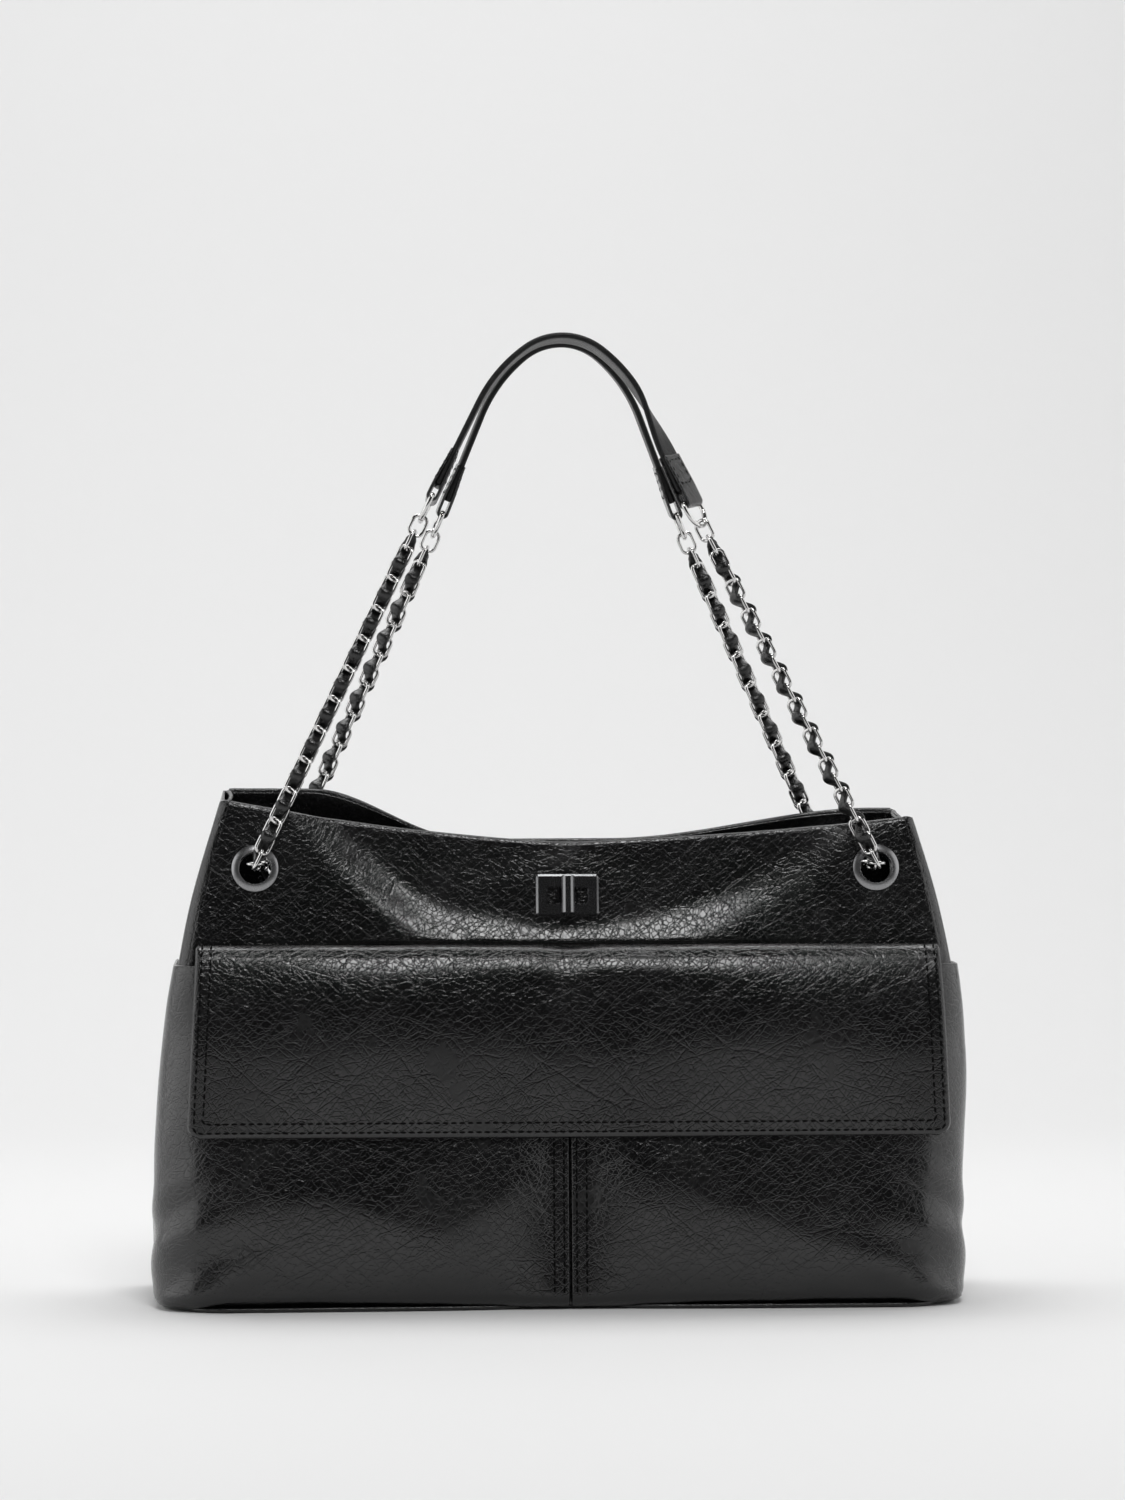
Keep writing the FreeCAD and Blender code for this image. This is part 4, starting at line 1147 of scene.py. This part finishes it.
def chain_group():
    """Sets a link on every point of a row."""
    group, given = new_group("chain_of_links", [("Link", "Object", None), ("Metal", "Material", None)])
    link = add_node(group, "GeometryNodeObjectInfo", {"Object": given["Link"]}).outputs["Geometry"]
    turn = add_node(group, "GeometryNodeInputNamedAttribute", {"Name": "turn"}, data_type="QUATERNION")
    copies = {"Points": given["Geometry"], "Instance": link, "Rotation": turn.outputs["Attribute"]}
    return end_group(group, copies, given["Metal"])


links_group = chain_group()
print("chain group:", len(links_group.nodes), "nodes")

# %% [markdown]
# ## Legs, inner chains and laces
#
# The links of a leg lie nearly flat and lean to alternate sides. The whole leg also turns slowly
# about its own run, and the leather lace woven through it turns with it. A lace could follow a
# curve with a bevel, but its width changes at each joint, so it is a sheet of written rows.

# %% Chain legs
LINK_LEAN = math.radians(27.5)
FOOT_LINK_TURN = math.radians(80.0)
FIRST_LINK = (LINK_PITCH + LINK_GAP - LINK_WIRE) / 2.0 - FOOT_GAP
FIRST_JOINT = LINK_GAP / 2.0 - FOOT_GAP - LINK_WIRE / 2.0
EXTRA_TURN = {(False, -1): 0.0, (True, -1): 0.6, (False, 1): -1.0, (True, 1): -0.25}


def chain(node, places, body):
    """One chain, with a link at each place."""
    name = node + "_links"
    mesh = bpy.data.meshes.new(name)
    mesh.from_pydata([tuple(m.translation) for m in places], [], [])
    turn = mesh.attributes.new("turn", "QUATERNION", "POINT")
    for k, m in enumerate(places):
        turn.data[k].value = m.to_quaternion()
    obj = run_group(name, mesh, links_group, {"Link": one_link, "Metal": nickel})
    return dress(obj, body, [node])


def extra_turn(rear, side, s):
    """The slow turn of a leg about its run, nothing at either end."""
    top = POSES[rear]["length"]
    grow = step(s, 0.004, 0.03) * (1.0 - step(s, top - 0.045, top - 0.012))
    return EXTRA_TURN[(rear, side)] * grow


def leg_rolls(pose, side):
    """The turn of each link; the last but one stands square to its neighbours."""
    rolls = [LINK_LEAN * (1 if i % 2 == 0 else -1) for i in range(pose["links"])]
    rolls[0] = FOOT_LINK_TURN
    rolls[-1] = side * pose["spins"][side]
    rolls[-2] = (rolls[-3] + rolls[-1]) / 2.0 + math.pi / 2.0
    return rolls


def leg_places(rear, side):
    places = []
    for i, roll in enumerate(leg_rolls(POSES[rear], side)):
        s = FIRST_LINK + i * LINK_PITCH
        turn = Matrix.Rotation(side * roll + extra_turn(rear, side, s), 4, "Z")
        m = leg_to_world(rear, side) @ Matrix.Translation((0.0, 0.0, s)) @ turn
        places.append(m @ MIRROR_Y if rear else m)
    return places


print("first link at", round(FIRST_LINK, 5), "above the pivot")

# %% Laces
LACE_LEATHER = 0.0014
LACE_START = 0.001
LACE_STOP = 0.0105
LACE_NARROW = 0.0046
LACE_WIDER = 0.0018
LACE_REACH = 0.0036
LACE_BOW = 0.0007


def lace_grid(rear, side):
    """The lace: wide where it lies over a joint, narrow where it passes through a link."""
    stop = POSES[rear]["length"] - LACE_STOP
    rows = []
    for s in np.linspace(LACE_START, stop, 190):
        over = math.cos(math.pi * (s - FIRST_JOINT) / LINK_PITCH)
        reach = -LACE_REACH * over * (1.0 - 0.10 * over ** 2)
        width = LACE_NARROW + LACE_WIDER * over ** 2
        ends = min(1.0, (s - LACE_START) / 0.004 + 0.35, (stop - s) / 0.004 + 0.25)
        turn = extra_turn(rear, side, s)
        cos, sin = math.cos(turn), math.sin(turn)
        row = []
        for q in np.linspace(-0.5, 0.5, 7):
            bow = LACE_BOW * (1.0 - (2.0 * q) ** 2) * (-1.0 if over > 0 else 1.0) * over ** 2
            x, y = q * width * ends, reach + bow
            row.append((x * cos - y * sin, x * sin + y * cos, s))
        rows.append(row)
    return moved(leg_to_world(rear, side), np.array(rows))


def lace(rear, side):
    grid = lace_grid(rear, side)
    outer = grid + grid_normals(grid) * (LACE_LEATHER / 2.0)
    node = HANDLES[rear] + "_lace_" + SIDES[side]
    obj = sheet(node + "_leather", outer, LACE_LEATHER, lace_leather)
    return dress(obj, HANDLES[rear] + "_chains", [node])


for rear, handle in HANDLES.items():
    for side, word in SIDES.items():
        chain(handle + "_chain_" + word, leg_places(rear, side), handle + "_chains")
        lace(rear, side)
print("legs:", [pose["links"] for pose in POSES.values()], "links, each with its lace")

# %% Inner chains
INNER_LINKS = 9
INNER_BEND_Y = -0.029205
INNER_SKEW = math.radians(13.0)


def inner_places(side):
    """Links through a pair of eyelets; behind the front link they run askew to the back eyelet."""
    places = []
    joint = Matrix.Translation((side * EYELET_X, INNER_BEND_Y, PIVOT.z))
    lie = Matrix.Rotation(-math.pi / 2.0, 4, "X")
    for i in range(INNER_LINKS):
        skew = Matrix.Rotation(side * INNER_SKEW if i else 0.0, 4, "Z")
        along = Matrix.Translation((0.0, (i - 0.5) * LINK_PITCH, 0.0))
        roll = Matrix.Rotation(math.pi / 2.0 * (i % 2), 4, "Y")
        places.append(joint @ skew @ along @ roll @ lie)
    return places


for side, word in SIDES.items():
    chain("inner_chain_" + word, inner_places(side), "bag")
bpy.data.objects.remove(one_link)
print("inner chains:", INNER_LINKS, "links each")

# %% [markdown]
# ## Metal pieces that stay as the CAD made them
#
# Eyelets, lock and D-rings are rigid and exact in the CAD. Modelling them again would gain nothing,
# so they keep their CAD shapes and only get a finish.

# %% Metal finishes
FINISHES = {"eyelet": eyelet_metal, "lock": gunmetal, "d_ring": nickel}
finished = []
for name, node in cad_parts.items():
    for word, metal in FINISHES.items():
        if word in name:
            node.data.materials.clear()
            node.data.materials.append(metal)
            finished.append(name)
print("finished", len(finished), "metal pieces")

# %% [markdown]
# ## Stitching
#
# The flap, the slit and the tabs are sewn with black thread. Stitches could be drawn in the
# material, but real beads catch the light. A node group lays them along a line: it spaces points
# by the stitch pitch and sets a small bead of thread on each, turned along the line.

# %% Stitch group
def stitch_group():
    sizes = [("Pitch", 0.0042), ("Stitch length", 0.0031), ("Thread radius", 0.00055)]
    inputs = [(label, "Float", value) for label, value in sizes]
    group, given = new_group("row_of_stitches", inputs + [("Thread", "Material", None)])
    line = add_node(group, "GeometryNodeMeshToCurve", {"Mesh": given["Geometry"]}).outputs["Curve"]
    spaced = {"Curve": line, "Length": given["Pitch"]}
    spaced = add_node(group, "GeometryNodeResampleCurve", spaced, mode="LENGTH").outputs["Curve"]
    along = {"Vector": group.nodes.new("GeometryNodeInputTangent").outputs["Tangent"]}
    along = add_node(group, "FunctionNodeAlignRotationToVector", along, axis="X").outputs["Rotation"]
    bead = {"Segments": 8, "Rings": 6, "Radius": 1.0}
    bead = add_node(group, "GeometryNodeMeshUVSphere", bead).outputs["Mesh"]
    half = math_node(group, "MULTIPLY", given["Stitch length"], 0.5)
    size = {"X": half, "Y": given["Thread radius"], "Z": given["Thread radius"]}
    size = add_node(group, "ShaderNodeCombineXYZ", size).outputs["Vector"]
    copies = {"Points": spaced, "Instance": bead, "Rotation": along, "Scale": size}
    return end_group(group, copies, given["Thread"])


def stitch_row(name, lines, body):
    """Stitches along one or more lines of points, riding with a body."""
    verts, edges = [], []
    for line in lines:
        first = len(verts)
        verts += [tuple(p) for p in line]
        edges += [(first + k, first + k + 1) for k in range(len(line) - 1)]
    mesh = bpy.data.meshes.new(name)
    mesh.from_pydata(verts, edges, [])
    obj = run_group(name, mesh, stitches_group, {"Thread": thread})
    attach(obj, body)
    return obj


stitches_group = stitch_group()
print("stitch group:", len(stitches_group.nodes), "nodes")

# %% Seam lines
SEAM_INSETS = (0.0022, 0.0068)
SLIT_SEAMS = (0.0032, 0.0082)
FLAP_WIDTH = 0.383
FLAP_ROW = 0.00196
FLAP_SEAM_TOP = 52


def on_grid(grid, i, j):
    """A point of a grid at fractional row and column."""
    i0, j0 = int(min(i, grid.shape[0] - 2)), int(min(j, grid.shape[1] - 2))
    a, b = i - i0, j - j0
    low = grid[i0, j0] * (1 - a) + grid[i0 + 1, j0] * a
    high = grid[i0, j0 + 1] * (1 - a) + grid[i0 + 1, j0 + 1] * a
    return low * (1 - b) + high * b


def flap_seams():
    """Two rows round the flap's free edges."""
    last = flap_grid.shape[0] - 1
    lines = []
    for inset in SEAM_INSETS:
        left = inset / (FLAP_WIDTH / last)
        up = inset / FLAP_ROW
        line = [on_grid(flap_grid, left, j) for j in np.linspace(FLAP_SEAM_TOP, up, 60)]
        line += [on_grid(flap_grid, i, up) for i in np.linspace(left, last - left, 150)[1:]]
        line += [on_grid(flap_grid, last - left, j) for j in np.linspace(up, FLAP_SEAM_TOP, 60)[1:]]
        lines.append(np.array(line) + np.array((0.0, -0.0001, 0.0)))
    return lines


def slit_seams():
    """Two rows on each side of the slit, laid on the pocket leather."""
    lines = []
    for side, grid in pocket_grids.items():
        from_slit = grid[::side]
        for x in SLIT_SEAMS:
            line = []
            for j in np.linspace(8, grid.shape[1] - 4, 120):
                column = np.array([on_grid(from_slit, i, j) for i in range(12)])
                y, z = (np.interp(x, np.abs(column[:, 0]), column[:, k]) for k in (1, 2))
                line.append((side * x, y - 0.0002, z))
            lines.append(line)
    return lines


edge_seams = flap_seams()
print("flap seams:", [len(line) for line in edge_seams], "points")

# %% Tab seams and stitches
TAB_SEAM_HALF = 0.0064
TAB_SEAM_FOOT = 0.010
TAB_SEAM_TOP = TAB - 0.0025
TAB_SEAM_LIFT = 0.00275


def tab_seams(rear):
    """A row round the sewn part of each tab, on both of its faces."""
    foot = [(-TAB_SEAM_HALF, TAB_SEAM_FOOT), (TAB_SEAM_HALF, TAB_SEAM_FOOT)]
    top = [(-TAB_SEAM_HALF, TAB_SEAM_TOP), (TAB_SEAM_HALF, TAB_SEAM_TOP)]
    corners = [foot[0], top[0], top[1], foot[1], foot[0]]
    lines = []
    for side in SIDES:
        for face in (-1.0, 1.0):
            line = []
            for (w0, s0), (w1, s1) in zip(corners, corners[1:]):
                for share in np.linspace(0.0, 1.0, 11)[:-1]:
                    w, s = w0 + (w1 - w0) * share, s0 + (s1 - s0) * share
                    line.append((face * (TAB_SEAM_LIFT - tab_thinning(s)), w, s))
            lines.append(moved(ring_to_world(rear, side), np.array(line)))
    return lines


stitch_row("front_tab_stitches", tab_seams(False), "front_strap")
stitch_row("rear_tab_stitches", tab_seams(True), "rear_strap")
flap_stitches = stitch_row("flap_stitches", edge_seams, "pocket_flap")
slit_stitches = stitch_row("slit_stitches", slit_seams(), "bag")
print("stitches:", len(flap_stitches.data.polygons), "and", len(slit_stitches.data.polygons), "faces")

# %% [markdown]
# ## Studio
#
# A pale floor runs up into a pale backdrop, which is clear from behind so that the back can be
# looked at too. One light would leave black leather a flat shape. So large soft lights stand left,
# right and above, and a smaller one above the camera draws the sheen on the folds.

# %% Backdrop
PAPER_HALF_WIDTH = 4.0
PAPER_FRONT = -1.8
PAPER_BEND_Y = 0.9
PAPER_BEND = 0.8
PAPER_TOP = 4.0
FLOOR_DROP = 0.0004


def backdrop():
    profile = [(PAPER_FRONT, 0.0), (PAPER_BEND_Y, 0.0)]
    for t in np.linspace(-math.pi / 2.0, 0.0, 16)[1:]:
        profile.append((PAPER_BEND_Y + PAPER_BEND * math.cos(t), PAPER_BEND + PAPER_BEND * math.sin(t)))
    profile.append((PAPER_BEND_Y + PAPER_BEND, PAPER_TOP))
    verts = [(x, y, z) for y, z in profile for x in (-PAPER_HALF_WIDTH, PAPER_HALF_WIDTH)]
    faces = [(2 * k, 2 * k + 1, 2 * k + 3, 2 * k + 2) for k in range(len(profile) - 1)]
    material, tree = new_material("pale_paper")
    paper = tree.nodes["Principled BSDF"]
    look = {"Base Color": (0.80, 0.80, 0.80, 1.0), "Roughness": 0.9, "Specular IOR Level": 0.1}
    fill_inputs(tree, paper, look)
    one_sided = {
        "Fac": tree.nodes.new("ShaderNodeNewGeometry").outputs["Backfacing"],
        1: paper.outputs["BSDF"],
        2: tree.nodes.new("ShaderNodeBsdfTransparent").outputs["BSDF"],
    }
    seen = add_node(tree, "ShaderNodeMixShader", one_sided).outputs["Shader"]
    fill_inputs(tree, tree.nodes["Material Output"], {"Surface": seen})
    obj = build_mesh("studio_floor", verts, faces, material)
    obj.location.z = -FLOOR_DROP
    return obj


print("backdrop:", len(backdrop().data.polygons), "faces")

# %% Lights
def area_light(name, place, target, size, power):
    data = bpy.data.lights.new(name, "AREA")
    data.shape = "RECTANGLE"
    data.size, data.size_y = size
    data.energy = power
    obj = bpy.data.objects.new(name, data)
    obj.location = place
    obj.rotation_euler = (Vector(target) - Vector(place)).to_track_quat("-Z", "Y").to_euler()
    bpy.context.scene.collection.objects.link(obj)


area_light("front_key", (0.1, -1.25, 1.60), (0.0, 0.0, 0.18), (0.50, 0.60), 10.5)
area_light("top_wide", (0.0, 0.45, 1.90), (0.0, 0.2, 0.0), (1.7, 0.9), 20.0)
area_light("left_wall", (-1.6, -0.25, 0.75), (0.0, -0.1, 0.3), (2.4, 1.5), 17.0)
area_light("right_wall", (1.6, -0.25, 0.75), (0.0, -0.1, 0.3), (2.4, 1.5), 14.0)
area_light("back_wash", (0.0, 0.45, 2.3), (0.0, 1.7, 0.6), (2.6, 0.5), 9.5)

world = bpy.data.worlds.new("studio_world")
world.use_nodes = True
sky = {"Color": (0.9, 0.9, 0.9, 1.0), "Strength": 0.04}
fill_inputs(world.node_tree, world.node_tree.nodes["Background"], sky)
bpy.context.scene.world = world
print("lights:", len(bpy.data.lights))

# %% [markdown]
# ## Camera
#
# The photograph looks level at the bag from a little left of the middle, from far off, so its upright
# lines stay upright. A camera aimed by a constraint would tilt, so its turn is set directly.

# %% Camera
CAMERA_TURN = math.radians(-4.0)
CAMERA_AWAY = 2.2
CAMERA_HEIGHT = 0.281
HALF_HEIGHT_SEEN = 0.3877
camera_data = bpy.data.cameras.new("photo_camera")
camera_data.sensor_fit = "VERTICAL"
camera_data.angle = 2.0 * math.atan(HALF_HEIGHT_SEEN / CAMERA_AWAY)
camera = bpy.data.objects.new("photo_camera", camera_data)
camera.location = (CAMERA_AWAY * math.sin(CAMERA_TURN), -CAMERA_AWAY * math.cos(CAMERA_TURN), CAMERA_HEIGHT)
camera.rotation_euler = (math.pi / 2.0, 0.0, CAMERA_TURN)
bpy.context.scene.collection.objects.link(camera)
bpy.context.scene.camera = camera
bpy.context.scene.view_settings.view_transform = "Standard"
print("camera at", [round(v, 3) for v in camera.location])
